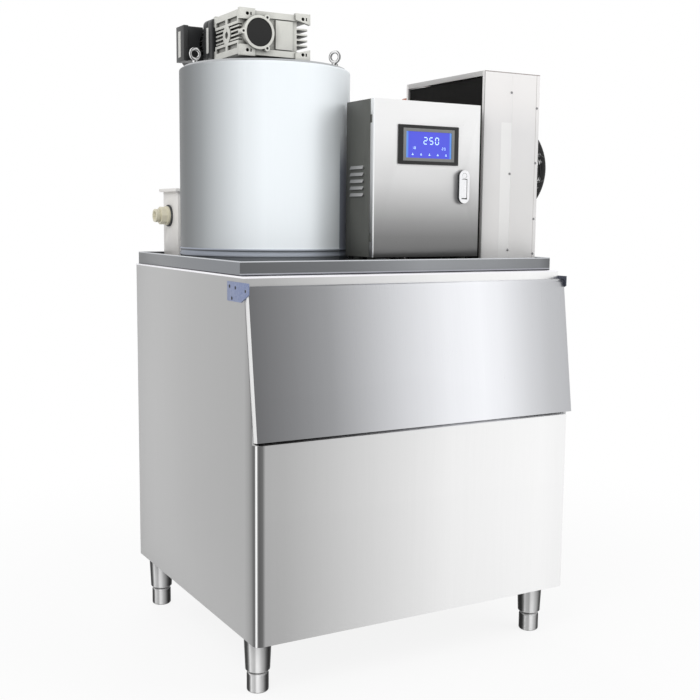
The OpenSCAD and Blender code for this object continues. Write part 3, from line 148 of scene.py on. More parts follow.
class Finish(Graph):
    """One material, on Object coordinates."""

    def __init__(self, name):
        self.material = bpy.data.materials.new(name)
        self.material.use_nodes = True
        super().__init__(self.material.node_tree)
        self.tree.nodes.clear()
        self.place = self.add("ShaderNodeTexCoord", out="Object")

    def axis(self, letter):
        return self.add("ShaderNodeSeparateXYZ", {}, {0: self.place}, out=letter)

    def facing(self, letter):
        """How far each face looks along an axis of the piece, from -1 to 1."""
        outward = self.add("ShaderNodeTexCoord", out="Normal")
        return self.add("ShaderNodeSeparateXYZ", {}, {0: outward}, out=letter)

    def noise(self, stretch, detail=2.0, rough=0.5):
        """Noise whose cells are 1 / stretch metres along each axis."""
        spread = self.add("ShaderNodeMapping", {}, {"Vector": self.place, "Scale": stretch})
        return self.add("ShaderNodeTexNoise", {},
                        {"Vector": spread, "Scale": 1.0, "Detail": detail, "Roughness": rough})

    def cells(self, size):
        spread = self.add("ShaderNodeMapping", {}, {"Vector": self.place, "Scale": (1 / size,) * 3})
        return self.add("ShaderNodeTexVoronoi", {}, {"Vector": spread, "Scale": 1.0})

    def ramp(self, value, stops):
        return self.add("ShaderNodeValToRGB", {"stops": stops}, {0: value})

    def mix(self, factor, first, second, way="MIX"):
        return self.add("ShaderNodeMix", {"data_type": "RGBA", "blend_type": way},
                        {0: factor, 6: first, 7: second}, out=2)

    def bump(self, height, depth, strength=1.0):
        return self.add("ShaderNodeBump", {}, {"Height": height, "Distance": depth, "Strength": strength})

    def surface(self, sockets):
        shader = self.add("ShaderNodeBsdfPrincipled", {}, sockets)
        self.add("ShaderNodeOutputMaterial", {}, {"Surface": shader})
        return self.material


# Finishes

def along(finish, letter, low, high):
    """How far a point lies between two places on an axis: 0 at the first, 1 at the second."""
    return (finish.axis(letter) - low) / (high - low)


def grey_stops(levels, tint=(1, 1, 1)):
    """Ramp stops from (place, screen tone), tinted in red, green and blue."""
    return [(place, tone(*(min(255, level * t) for t in tint))) for place, level in levels]


def brushed(finish, colour, grain, rough, contrast=0.05, metallic=1.0, gloss=0.5):
    """Brushed steel over a tone, with fine and broad lines along the axes that grain marks."""
    line_length, line_width, band_length, band_width = 90 * MM, 1.1 * MM, 900 * MM, 11 * MM
    lines = finish.noise(tuple(1 / (line_length if marked else line_width) for marked in grain), 3)
    bands = finish.noise(tuple(1 / (band_length if marked else band_width) for marked in grain), 2)
    cloud = finish.noise((3.1, 3.1, 3.1), 3)
    level = 1 - 0.7 * contrast + contrast * (lines + 0.4 * bands) + 0.02 * (cloud - 0.5)
    shade = finish.add("ShaderNodeCombineColor", {}, {0: level, 1: level, 2: level})
    return finish.surface({
        "Base Color": finish.mix(1.0, colour, shade, "MULTIPLY"),
        "Metallic": metallic,
        "Specular IOR Level": gloss,
        "Roughness": rough + 0.10 * (lines - 0.5) + 0.06 * (cloud - 0.5),
        "Normal": finish.bump(lines, 0.3 * MM, 0.05),
    })


def shell_steel():
    """Bin wrapper, painted with reflections: grey sides that darken towards the front corner, a front that
    pales to the right, a painted highlight down its left corner with painted shade next to it, and a
    painted highlight along the top edge.
    """
    low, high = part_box("bin_shell")
    radius, shaded, rim_depth = 19 * MM, 7 * MM, 4 * MM
    panel_top, slope_depth, side_sheet = low.z + 491 * MM, low.y + 67 * MM, low.x + 4 * MM
    f = Finish("bin_steel")
    # Painted reflection: the front pales to the right and the sides darken towards the front corner.
    front = f.ramp(along(f, "X", low.x, high.x), grey_stops(
        [(0.0, 176), (0.08, 182), (0.28, 211), (0.59, 243), (0.9, 251), (1.0, 246)]))
    side = f.ramp(along(f, "Y", low.y, high.y), grey_stops(
        [(0.0, 122), (0.023, 128), (0.045, 160), (0.075, 176), (0.5, 178), (1.0, 184)]))
    half = (high.x - low.x) / 2
    across = f.axis("X") - (low.x + half)
    from_side = half - across.math("ABSOLUTE", across)
    from_front = f.axis("Y") - low.y
    bend = across.math("ARCTAN2", radius - from_front, radius - from_side) * (2 / math.pi)
    # Painted highlight down the rounded corner, between painted dark reflections.
    corner = f.ramp(bend, grey_stops(
        [(0.0, 126), (0.16, 112), (0.29, 104), (0.36, 128), (0.41, 252), (0.52, 255), (0.57, 150),
         (0.66, 96), (0.85, 104), (1.0, 114)]))
    z = f.axis("Z")
    left_panel = z.below(panel_top) * across.below(0.0)
    on_corner = left_panel * bend.above(0.0) * from_side.below(radius)
    on_side = from_front.above(radius)
    # Painted shade in a band next to the corner on the left panel's front.
    shade_beside_corner = left_panel * (radius + shaded - from_side) / shaded
    slope = z.above(panel_top + 1 * MM) * f.axis("X").above(side_sheet) * f.axis("Y").below(slope_depth)
    walls = f.mix(on_side * (1 - slope), f.mix(shade_beside_corner, front, tone(116)), side)
    # Painted highlight along the top edge.
    walls = f.mix(z.above(high.z - rim_depth), walls, tone(252, 251, 255))
    return brushed(f, f.mix(on_corner * (1 - on_side), walls, corner), (0, 0, 1), 0.34)


def door_steel():
    """Bin door: painted reflection, dark at the left and bright right of the middle, with upright grain and
    a painted highlight on its pale left fold.
    """
    low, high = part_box("bin_door")
    fold_width, pin_end = 3.3 * MM, 2.4 * MM
    f = Finish("bin_door_steel")
    # Painted reflection across the door.
    levels = [(0.0, 112), (0.05, 124), (0.106, 135), (0.218, 158), (0.427, 216), (0.58, 244), (0.69, 252),
              (0.76, 244), (0.86, 216), (0.93, 199), (1.0, 190)]
    colour = f.ramp(along(f, "X", low.x, high.x), grey_stops(levels, (0.99, 0.995, 1.01)))
    # Painted highlight on the left fold; dark hinge pins.
    fold = f.axis("X").below(low.x + fold_width)
    pin = f.axis("X").below(low.x + pin_end)
    colour = f.mix(pin, f.mix(fold, colour, tone(232)), tone(44))
    return brushed(f, colour, (0, 1, 1), 0.30)


def drum_steel():
    """Rolled sheet round the ice drum: painted reflections whose tones run from its left round by the
    front, a painted shadow and reflection of the control box on its right, over a lined foot with painted
    shadow next to the tray.
    """
    low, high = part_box("drum_jacket")
    mid = (low + high) / 2
    shade_start, shade_end = 0.343, 0.48
    shade_low, shade_high = high.z - 268 * MM, high.z - 168 * MM
    foot_height = 24 * MM
    # Painted reflections round the drum, from its left round by the front.
    levels = [
        (0.0, 116), (0.022, 130), (0.053, 154), (0.1, 198), (0.139, 228), (0.178, 244), (0.30, 248),
        (0.40, 250), (0.45, 226), (0.52, 196), (0.62, 222), (0.72, 205), (0.86, 160), (0.96, 110),
        (1.0, 116)]
    f = Finish("drum_steel")
    x = f.axis("X") - mid.x
    turn = x.math("ARCTAN2", f.axis("Y") - mid.y, x) / (2 * math.pi) + 0.5
    shade = f.ramp(turn, grey_stops(levels, (0.978, 1.0, 1.014)))
    # Painted shadow and reflection of the control box on the drum's right.
    box_shade = turn.above(shade_start) * turn.below(shade_end) * along(f, "Z", shade_high, shade_low)
    body = f.mix(box_shade, shade, tone(150, 155, 168))
    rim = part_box("tray")[1].z
    # Foot: a grey-blue band with a dark line at its joint, over painted shadow next to the tray.
    foot = f.ramp(along(f, "Z", rim, rim + foot_height), grey_stops(
        [(0.0, 90), (0.1, 96), (0.2, 150), (0.58, 162), (0.68, 92), (0.78, 96), (0.86, 170), (1.0, 190)],
        (0.95, 0.99, 1.07)))
    at_foot = f.axis("Z").below(rim + foot_height - 1 * MM)
    return brushed(f, f.mix(0.8 * at_foot, body, foot), (0, 0, 1), 0.42, 0.03, 0.2, 0.2)


def tray_steel():
    """Tray: painted reflections that leave a front palest near its middle, painted highlights on the lip
    and hem, and a painted shadow in the gap over the bin.
    """
    low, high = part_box("tray")
    wall, lip_height, hem_drop, shadow_drop = 1.4 * MM, 2.6 * MM, 29 * MM, 32.5 * MM
    f = Finish("tray_steel")
    x, y, z = f.axis("X"), f.axis("Y"), f.axis("Z")
    # Painted reflections on the front and the sides.
    front = f.ramp(along(f, "X", low.x, high.x), grey_stops(
        [(0.0, 100), (0.3, 116), (0.55, 152), (0.8, 146), (0.96, 132), (1.0, 104)], (0.985, 1.0, 1.02)))
    side = f.ramp(along(f, "Y", low.y, high.y), grey_stops(
        [(0.0, 137), (0.3, 132), (1.0, 104)], (0.98, 1.0, 1.03)))
    behind = y.above(low.y + wall)
    inside = behind * y.below(high.y - wall) * x.above(low.x + wall) * x.below(high.x - wall)
    # Painted highlights along the lip and the hem.
    lip = z.above(high.z - lip_height)
    hem = z.below(high.z - hem_drop)
    # Painted shadow on the outer faces where the tray meets the bin, and a plain darker tone inside.
    gap_shadow = z.below(high.z - shadow_drop)
    face = f.mix(hem * (1 - behind), front, tone(168, 170, 176))
    under = f.mix(inside, tone(30, 30, 40), tone(104, 106, 110))
    colour = f.mix(gap_shadow, f.mix(behind, face, side), under)
    return brushed(f, f.mix(lip, colour, tone(205, 208, 212)), (1, 0, 0), 0.30, 0.06, 0.8)


def case_steel():
    """Control box body: satin sheet painted dark as shade, with painted light making the hoods of its
    louvres paler.
    """
    hood_depth = 3.4 * MM
    f = Finish("box_case_steel")
    # Painted light on the louvre hoods over a sheet painted dark as shade.
    hoods = f.axis("X").below(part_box("control_box")[0].x + hood_depth)
    return brushed(f, f.mix(hoods, tone(92, 93, 89), tone(164)), (0, 0, 1), 0.42, 0.08, 0.3, 0.3)


def box_door_steel():
    """Control box door: painted reflection, bright at the top and dark at its foot, with a painted
    highlight on the fold at the left.
    """
    low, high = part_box("box_door")
    fold_width, fold_depth = 2.2 * MM, 3 * MM
    f = Finish("box_door_steel")
    # Painted reflection from dark at the foot to bright at the top.
    levels = [(0.0, 112), (0.13, 127), (0.226, 152), (0.355, 186), (0.484, 214), (0.68, 232),
              (0.8, 239), (1.0, 240)]
    front = f.ramp(along(f, "Z", low.z, high.z), grey_stops(levels))
    # Painted highlight on the left fold.
    fold = f.axis("X").below(low.x + fold_width) * f.axis("Y").below(low.y + fold_depth)
    return brushed(f, f.mix(fold, front, tone(250)), (1, 0, 0), 0.30, 0.022, 0.65, 0.4)


def plain_steel(name, colour, grain=(0, 0, 1), rough=0.3):
    """Brushed sheet in one tone."""
    return brushed(Finish(name), colour, grain, rough, 0.1)


def turning_marks(finish):
    """Fine marks of a lathe round an upright axis."""
    return finish.noise((20, 20, 1 / (0.9 * MM)), 3)


def banded_steel(name, levels, rims=()):
    """Bright round steel: painted reflections as light and dark bands across one level direction, and
    painted shade just above given rims.
    """
    band_x, band_y, rim_height = 0.868, -0.496, 2.5 * MM
    f = Finish(name)
    rings = turning_marks(f)
    # Painted reflection bands across a fixed level direction of the piece.
    across = band_x * f.facing("X") + band_y * f.facing("Y")
    bands = f.mix(0.10 * rings, f.ramp(0.5 + 0.5 * across, grey_stops(levels)), tone(190))
    # Painted shade just above each rim.
    for rim in rims:
        height = f.axis("Z") - rim
        bands = f.mix(0.8 * height.above(-0.1 * MM) * height.below(rim_height), bands, tone(20))
    return f.surface({
        "Base Color": bands,
        "Metallic": 0.15,
        "Specular IOR Level": 0.06,
        "Specular Tint": tone(120),
        "Roughness": 0.24 + 0.14 * rings,
        "Normal": f.bump(rings, 0.2 * MM, 0.12),
    })


def turned_steel(name, colour):
    """Lathe-turned steel with fine rings and a clouded tone."""
    f = Finish(name)
    rings = turning_marks(f)
    cloud = f.noise((14, 14, 14), 3)
    return f.surface({
        "Base Color": f.mix(cloud, colour, tone(150)),
        "Metallic": 1.0,
        "Roughness": 0.20 + 0.14 * rings,
        "Normal": f.bump(rings, 0.2 * MM, 0.15),
    })


def zinc_plate(name, dark, light):
    """Zinc-plated sheet with faint flakes."""
    f = Finish(name)
    flakes = f.cells(5 * MM)
    cloud = f.noise((60, 60, 60), 4)
    return f.surface({
        "Base Color": f.mix(flakes * 0.6 + cloud * 0.4, dark, light),
        "Metallic": 0.8,
        "Roughness": 0.30 + 0.25 * cloud,
        "Normal": f.bump(cloud, 0.1 * MM, 0.2),
    })


def cast_metal(name, dark, light, grain=1.4 * MM, metallic=0.35):
    """Sand-cast metal with a grainy skin and painted shade that darkens its hollows."""
    f = Finish(name)
    skin = f.noise((1 / grain,) * 3, 4, 0.6)
    cloud = f.noise((35, 35, 35), 3)
    # Painted shade in the hollows, from ambient occlusion.
    open_air = f.add("ShaderNodeAmbientOcclusion", {"samples": 8}, {"Distance": 26 * MM}, out="AO")
    clean = f.mix(0.65 * skin + 0.35 * cloud, dark, light)
    hollow_shade = f.mix(1.0, clean, tone(70, 70, 68), "MULTIPLY")
    return f.surface({
        "Base Color": f.mix(1.3 * open_air - 0.3, hollow_shade, clean),
        "Metallic": metallic,
        "Roughness": 0.38 + 0.24 * skin,
        "Normal": f.bump(skin, 0.5 * MM, 0.5),
    })


def paint(name, colour, second, rough=0.35, peel=2.2 * MM):
    """Sprayed paint or powder coat with a slight orange peel and a faint change of shade."""
    f = Finish(name)
    skin = f.noise((1 / peel,) * 3, 2)
    cloud = f.noise((5, 5, 5), 3)
    return f.surface({
        "Base Color": f.mix(cloud, colour, second),
        "Roughness": rough + 0.14 * (skin - 0.5) + 0.10 * (cloud - 0.5),
        "Normal": f.bump(skin, 0.12 * MM, 0.35),
    })


def panel_white():
    """Powder-coated condenser panels: warm white, whiter at top and foot, lined at their folds."""
    low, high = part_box("fan_shroud")
    coil_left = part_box("coil_end_panels")[0].x
    sheen_left, sheen_right, sheen_top = coil_left + 60 * MM, coil_left + 96 * MM, high.z - 135 * MM
    line_left, line_right = high.x - 12 * MM, high.x - 10.6 * MM
    fold_width, top_edge = 1.8 * MM, 2.6 * MM
    f = Finish("panel_white")
    skin = f.noise((1 / (2 * MM),) * 3, 2)
    cloud = f.noise((6, 6, 2), 3)
    height = f.ramp(along(f, "Z", low.z, high.z), [
        (0.0, tone(240, 239, 238)), (0.12, tone(226, 225, 224)), (0.4, tone(220, 219, 218)),
        (0.7, tone(220, 219, 219)), (0.86, tone(234, 232, 231)), (1.0, tone(238, 236, 235))])
    x, z, front = f.axis("X"), f.axis("Z"), f.facing("Y").below(-0.7)
    sheen = x.above(sheen_left) * x.below(sheen_right) * z.below(sheen_top)
    flange = x.above(line_left) * x.below(line_right)
    fold = x.below(coil_left + fold_width)
    top = z.above(high.z - top_edge)
    plain = f.mix(0.25 * cloud, height, tone(205, 203, 203))
    plain = f.mix(0.55 * front * sheen, plain, tone(236, 236, 235))
    lined = f.mix(front * flange, f.mix(front * fold, plain, tone(120)), tone(176, 170, 168))
    return f.surface({
        "Base Color": f.mix(front * top, lined, tone(150, 142, 140)),
        "Roughness": 0.34 + 0.12 * skin,
        "Normal": f.bump(skin, 0.12 * MM, 0.3),
        "Coat Weight": 0.25,
    })


def plastic(name, colour, second, rough=0.4):
    """Moulded plastic with a fine skin and a faint change of shade."""
    f = Finish(name)
    skin = f.noise((1 / (0.8 * MM),) * 3, 3)
    cloud = f.noise((18, 18, 18), 3)
    return f.surface({
        "Base Color": f.mix(cloud, colour, second),
        "Roughness": rough + 0.18 * (skin - 0.5),
        "Normal": f.bump(skin, 0.08 * MM, 0.3),
    })


def chrome():
    """Latch: bright plating, with a painted dark reflection where its walls turn away from the front."""
    f = Finish("chrome")
    cloud = f.noise((90, 90, 90), 3)
    plating = f.mix(cloud, tone(236, 237, 240), tone(250, 250, 251))
    return f.surface({
        "Base Color": f.mix(f.facing("Y").above(-0.55), plating, tone(58, 59, 62)),
        "Metallic": 0.8,
        "Roughness": 0.10 + 0.10 * cloud,
        "Normal": f.bump(cloud, 0.05 * MM, 0.1),
    })


def copper():
    """Drawn copper pipe, stained in places."""
    f = Finish("copper_pipe")
    cloud = f.noise((40, 40, 40), 4)
    stain = f.noise((9, 9, 9), 3)
    return f.surface({
        "Base Color": f.mix(cloud * 0.5 + stain * 0.5, tone(196, 118, 84), tone(150, 84, 60)),
        "Metallic": 1.0,
        "Roughness": 0.22 + 0.22 * cloud,
    })


def foam():
    """Yellowish insulation with small cells."""
    f = Finish("foam")
    cells = f.cells(2.5 * MM)
    return f.surface({
        "Base Color": f.mix(cells, tone(226, 206, 150), tone(205, 180, 118)),
        "Roughness": 0.85 + 0.1 * cells,
        "Normal": f.bump(cells, 1 * MM, 0.6),
    })


def lit_screen():
    """Backlit display: deep blue, paler to the rims, with fine rows."""
    low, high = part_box("display_screen")
    row_pitch = 1.6 * MM
    f = Finish("lit_screen")
    x = along(f, "X", low.x, high.x)
    rim = f.ramp(x, [
        (0.0, tone(110, 190, 255)), (0.035, tone(105, 160, 250)), (0.06, tone(84, 92, 236)),
        (0.5, tone(88, 92, 240)), (0.945, tone(84, 92, 236)), (0.97, tone(105, 160, 250)),
        (1.0, tone(110, 190, 255))])
    rows = x.math("SINE", f.axis("Z") * (2 * math.pi / row_pitch))
    glow = f.mix(0.5 + 0.08 * rows, tone(60, 66, 205), rim)
    return f.surface({
        "Base Color": tone(30, 34, 90),
        "Roughness": 0.22 + 0.04 * rows,
        "Emission Color": f.mix(0.65, glow, rim),
        "Emission Strength": 0.82,
    })


def screen_marks():
    """Pale lit figures of the display."""
    f = Finish("screen_marks")
    cloud = f.noise((300, 300, 300), 2)
    return f.surface({
        "Base Color": tone(150, 190, 235),
        "Roughness": 0.4,
        "Emission Color": f.mix(cloud, tone(186, 222, 252), tone(222, 240, 255)),
        "Emission Strength": 0.85,
    })


def coil_black():
    """Black-coated fins with streaks and dust."""
    f = Finish("coil_black")
    streak = f.noise((60, 300, 25), 3)
    dust = f.noise((25, 25, 25), 4)
    return f.surface({
        "Base Color": f.mix(streak * 0.6 + dust * 0.4, tone(24, 24, 25), tone(54, 53, 52)),
        "Metallic": 0.3,
        "Roughness": 0.45 + 0.2 * streak,
    })


satin_steel = plain_steel("satin_steel", tone(188, 190, 192))
inner_steel = plain_steel("inner_steel", tone(196, 198, 200), (1, 0, 0), 0.34)
shaft_steel = turned_steel("shaft_steel", tone(190, 190, 192))
# Legs and lifting eyes: painted reflection bands; the legs also get painted shade just above the floor and
# just below the sleeves.
leg_steel = banded_steel("leg_steel", [
    (0.0, 2), (0.07, 6), (0.13, 60), (0.18, 130), (0.24, 238), (0.32, 206), (0.42, 190), (0.5, 252),
    (0.58, 246), (0.68, 206), (0.78, 166), (0.86, 92), (0.92, 16), (1.0, 2)],
    rims=(0.0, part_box("leg_sleeves")[0].z))
eye_steel = banded_steel("eye_steel", [
    (0.0, 24), (0.14, 60), (0.24, 236), (0.4, 252), (0.5, 150), (0.58, 46), (0.7, 90), (0.8, 226),
    (0.9, 120), (1.0, 30)])
zinc = zinc_plate("zinc_plate", tone(112, 124, 163), tone(150, 160, 188))
# Same zinc painted darker as shade, for the right bracket.
zinc_dull = zinc_plate("zinc_dull", tone(66, 69, 80), tone(92, 95, 106))
strip_white = paint("strip_white", tone(226, 226, 222), tone(198, 198, 194), 0.4)
cap_black = paint("cap_black", tone(10), tone(18), 0.6)
cast_case = cast_metal("cast_aluminium", tone(196, 196, 190), tone(238, 238, 232))
cast_dark = cast_metal("cast_iron", tone(40, 41, 42), tone(64, 65, 66), 1.6 * MM, 0.25)
motor_paint = paint("motor_paint", tone(32, 33, 34), tone(46, 47, 48), 0.42)
black_paint = paint("black_paint", tone(26, 26, 27), tone(40, 40, 41), 0.38)
white_panel = panel_white()
grey_rail = paint("rail_paint", tone(210, 209, 208), tone(190, 189, 188), 0.4)
white_plastic = plastic("white_plastic", tone(240, 238, 236), tone(226, 223, 219))
trim_plastic = plastic("trim_plastic", tone(236, 237, 238), tone(222, 224, 226), 0.45)
cream_plastic = plastic("cream_plastic", tone(228, 223, 202), tone(210, 204, 180))
bezel_black = plastic("bezel_black", tone(8), tone(15), 0.4)
black_plastic = plastic("black_plastic", tone(24, 24, 25), tone(36, 36, 38), 0.3)
grey_plastic = plastic("grey_plastic", tone(112, 113, 113), tone(128, 129, 128), 0.4)
float_plastic = plastic("float_plastic", tone(228, 132, 62), tone(205, 108, 48), 0.45)
seal_rubber = plastic("seal_rubber", tone(50, 50, 52), tone(68, 68, 70), 0.65)
bright_chrome = chrome()
pipe_copper = copper()
wall_foam = foam()
fin_black = coil_black()
wire_black = paint("wire_black", tone(8), tone(16), 0.5, 1.2 * MM)
# Black standing for the shade inside screw recesses.
recess_black = paint("recess_black", tone(12, 12, 12), tone(20, 20, 20), 0.6)
screw_steel = turned_steel("screw_steel", tone(170, 171, 173))


# Pieces

def add_piece(name, mesh, body, stands_for=()):
    """Hangs a finished mesh on a body and hides the nodes that it stands for."""
    piece = bpy.data.objects.new(name, mesh)
    bpy.context.scene.collection.objects.link(piece)
    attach(piece, body)
    if stands_for:
        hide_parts(*stands_for)
    return piece


def applied(mesh, *modifiers):
    """The mesh after modifiers of (kind, settings), as a plain mesh."""
    carrier = bpy.data.objects.new("carrier", mesh)
    bpy.context.scene.collection.objects.link(carrier)
    for kind, settings in modifiers:
        modifier = carrier.modifiers.new(kind, kind)
        for key, value in settings.items():
            setattr(modifier, key, value)
    ready = bpy.context.evaluated_depsgraph_get()
    result = bpy.data.meshes.new_from_object(carrier.evaluated_get(ready))
    bpy.data.objects.remove(carrier)
    return result


def smooth(mesh, angle=40):
    """Smooth faces, with edges kept sharp above an angle in degrees."""
    mesh.shade_smooth()
    mesh.set_sharp_from_angle(angle=math.radians(angle))


def softened(node, material, width=0.0, segments=2, angle=40):
    """A welded copy of a node, its sharp edges eased by a width in millimetres, that stands for it."""
    mesh = NODES[node].data.copy()
    shape = bmesh.new()
    shape.from_mesh(mesh)
    bmesh.ops.remove_doubles(shape, verts=shape.verts, dist=0.01 * MM)
    bmesh.ops.dissolve_limit(shape, angle_limit=math.radians(0.6), verts=shape.verts, edges=shape.edges)
    shape.to_mesh(mesh)
    shape.free()
    if width:
        mesh = applied(mesh, ("BEVEL", {
            "width": width * MM, "segments": segments, "limit_method": "ANGLE",
            "angle_limit": math.radians(30), "use_clamp_overlap": True, "harden_normals": False}))
    smooth(mesh, angle)
    mesh.materials.clear()
    mesh.materials.append(material)
    return add_piece(node + "_finished", mesh, BODY_OF[node], (node,))


def paint_node(node, material):
    """A node whose shape stays gets its finish."""
    data = NODES[node].data
    data.materials.clear()
    data.materials.append(material)


def plates(name, boxes, material, body, ease=0.0):
    """Thin slabs given by their low and high corners, in one piece, eased by millimetres."""
    shape = bmesh.new()
    for low, high in boxes:
        made = bmesh.ops.create_cube(shape, size=1)["verts"]
        size = Vector(high) - Vector(low)
        bmesh.ops.scale(shape, vec=size, verts=made)
        bmesh.ops.translate(shape, vec=(Vector(low) + Vector(high)) / 2, verts=made)
    mesh = bpy.data.meshes.new(name)
    shape.to_mesh(mesh)
    shape.free()
    if ease:
        mesh = applied(mesh, ("BEVEL", {"width": ease * MM, "segments": 2}))
    smooth(mesh)
    mesh.materials.append(material)
    return add_piece(name, mesh, body)


# Repeats

class Pattern(Graph):
    """A geometry tree with named sizes that ends as a plain mesh."""

    def __init__(self, name, **sizes):
        super().__init__(bpy.data.node_groups.new(name, "GeometryNodeTree"))
        face = self.tree.interface
        face.new_socket("Geometry", in_out="INPUT", socket_type="NodeSocketGeometry")
        face.new_socket("Geometry", in_out="OUTPUT", socket_type="NodeSocketGeometry")
        self.sizes = {}
        for label, value in sizes.items():
            kind = "NodeSocketInt" if isinstance(value, int) else "NodeSocketFloat"
            self.sizes[face.new_socket(label, in_out="INPUT", socket_type=kind).identifier] = value
        self.start = self.tree.nodes.new("NodeGroupInput")
        self.end = self.tree.nodes.new("NodeGroupOutput")

    def given(self, label="Geometry"):
        return Wire(self, self.start.outputs[label])

    def painted(self, geometry, material):
        return self.add("GeometryNodeSetMaterial", {}, {"Geometry": geometry, "Material": material})

    def moved(self, geometry, place=(0, 0, 0), turn=(0, 0, 0)):
        return self.add("GeometryNodeTransform", {},
                        {"Geometry": geometry, "Translation": place, "Rotation": turn})

    def vector(self, x=0.0, y=0.0, z=0.0):
        return self.add("ShaderNodeCombineXYZ", {}, {0: x, 1: y, 2: z})

    def joined(self, *parts):
        return self.add("GeometryNodeJoinGeometry", {}, {"Geometry": list(reversed(parts))})

    def mesh(self, geometry, base):
        real = self.add("GeometryNodeRealizeInstances", {}, {"Geometry": geometry})
        self.tree.links.new(real.socket, self.end.inputs["Geometry"])
        carrier = bpy.data.objects.new("carrier", base)
        modifier = carrier.modifiers.new("pattern", "NODES")
        modifier.node_group = self.tree
        for identifier, value in self.sizes.items():
            modifier[identifier] = value
        bpy.context.scene.collection.objects.link(carrier)
        ready = bpy.context.evaluated_depsgraph_get()
        result = bpy.data.meshes.new_from_object(carrier.evaluated_get(ready))
        carrier.modifiers.remove(modifier)
        bpy.data.objects.remove(carrier)
        smooth(result)
        return result


def marked_points(places):
    """A mesh of points for a pattern, each with the direction it faces."""
    mesh = bpy.data.meshes.new("places")
    mesh.from_pydata([place for place, facing in places], [], [])
    facing = mesh.attributes.new("facing", "FLOAT_VECTOR", "POINT")
    for item, (place, way) in zip(facing.data, places):
        item.vector = way
    return mesh


def fasteners(name, places, body, head_radius, head_height, recess="cross", material=None):
    """Screw or bolt heads at places, each given as (point, direction that its head faces)."""
    p = Pattern(name, head_radius=head_radius, head_height=head_height)
    radius, height = p.given("head_radius"), p.given("head_height")
    rim_height, recess_mid, recess_depth = height * 0.55, height * 0.78, height * 0.5
    rim = p.add("GeometryNodeMeshCone", {}, {
        "Vertices": 20, "Radius Bottom": radius, "Radius Top": radius * 0.97, "Depth": rim_height})
    crown = p.moved(p.add("GeometryNodeMeshCone", {}, {
        "Vertices": 20, "Radius Bottom": radius * 0.92, "Radius Top": radius * 0.62,
        "Depth": height - rim_height}), p.vector(z=rim_height))
    parts = [p.painted(p.joined(rim, crown), material or screw_steel)]
    if recess == "cross":
        for turn in (0, math.pi / 2):
            bar = p.add("GeometryNodeMeshCube", {}, {
                "Size": p.vector(radius, radius * 0.24, recess_depth)})
            parts.append(p.painted(p.moved(bar, p.vector(z=recess_mid), (0, 0, turn)), recess_black))
    if recess == "socket":
        hole = p.add("GeometryNodeMeshCylinder", {}, {
            "Vertices": 6, "Radius": radius * 0.5, "Depth": recess_depth})
        parts.append(p.painted(p.moved(hole, p.vector(z=recess_mid)), recess_black))
    facing = p.add("GeometryNodeInputNamedAttribute", {"data_type": "FLOAT_VECTOR"}, {"Name": "facing"})
    turned = p.add("FunctionNodeAlignRotationToVector", {"axis": "Z"}, {"Vector": facing})
    points = p.add("GeometryNodeMeshToPoints", {}, {"Mesh": p.given()})
    heads = p.add("GeometryNodeInstanceOnPoints", {}, {
        "Points": points, "Instance": p.joined(*parts), "Rotation": turned})
    return add_piece(name, p.mesh(heads, marked_points(places)), body)


def coil_fins():
    """Finned coil: thin upright fins on rows of tubes, from the coil's own box."""
    low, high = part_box("condenser_coil")
    size, mid = high - low, (low + high) / 2
    count, rows, inset = 88, 8, 9.5 * MM
    fin_pitch, row_pitch = (size.y - 2 * inset) / (count - 1), size.z / rows
    p = Pattern("coil_pattern", fin_count=count, fin_thickness=0.9 * MM, tube_radius=6 * MM, tube_rows=rows)
    fin = p.add("GeometryNodeMeshCube", {}, {
        "Size": p.vector(size.x, p.given("fin_thickness"), size.z)})
    row = p.add("GeometryNodeMeshLine", {"mode": "OFFSET", "count_mode": "TOTAL"}, {
        "Count": p.given("fin_count"), "Start Location": (mid.x, low.y + inset, mid.z),
        "Offset": (0, fin_pitch, 0)})
    fins = p.add("GeometryNodeInstanceOnPoints", {}, {"Points": row, "Instance": fin})
    tube = p.moved(p.add("GeometryNodeMeshCylinder", {}, {
        "Vertices": 16, "Radius": p.given("tube_radius"), "Depth": size.y}), (0, 0, 0), (math.pi / 2, 0, 0))
    columns = []
    for part in (1, 3):
        stack = p.add("GeometryNodeMeshLine", {"mode": "OFFSET", "count_mode": "TOTAL"}, {
            "Count": p.given("tube_rows"),
            "Start Location": (low.x + part * size.x / 4, mid.y, low.z + row_pitch / 2),
            "Offset": (0, 0, row_pitch)})
        columns.append(p.add("GeometryNodeInstanceOnPoints", {}, {"Points": stack, "Instance": tube}))
    whole = p.joined(p.painted(fins, fin_black), p.painted(p.joined(*columns), pipe_copper))
    seed = bpy.data.meshes.new("coil_seed")
    return add_piece("coil_finished", p.mesh(whole, seed), "machine", ("condenser_coil",))


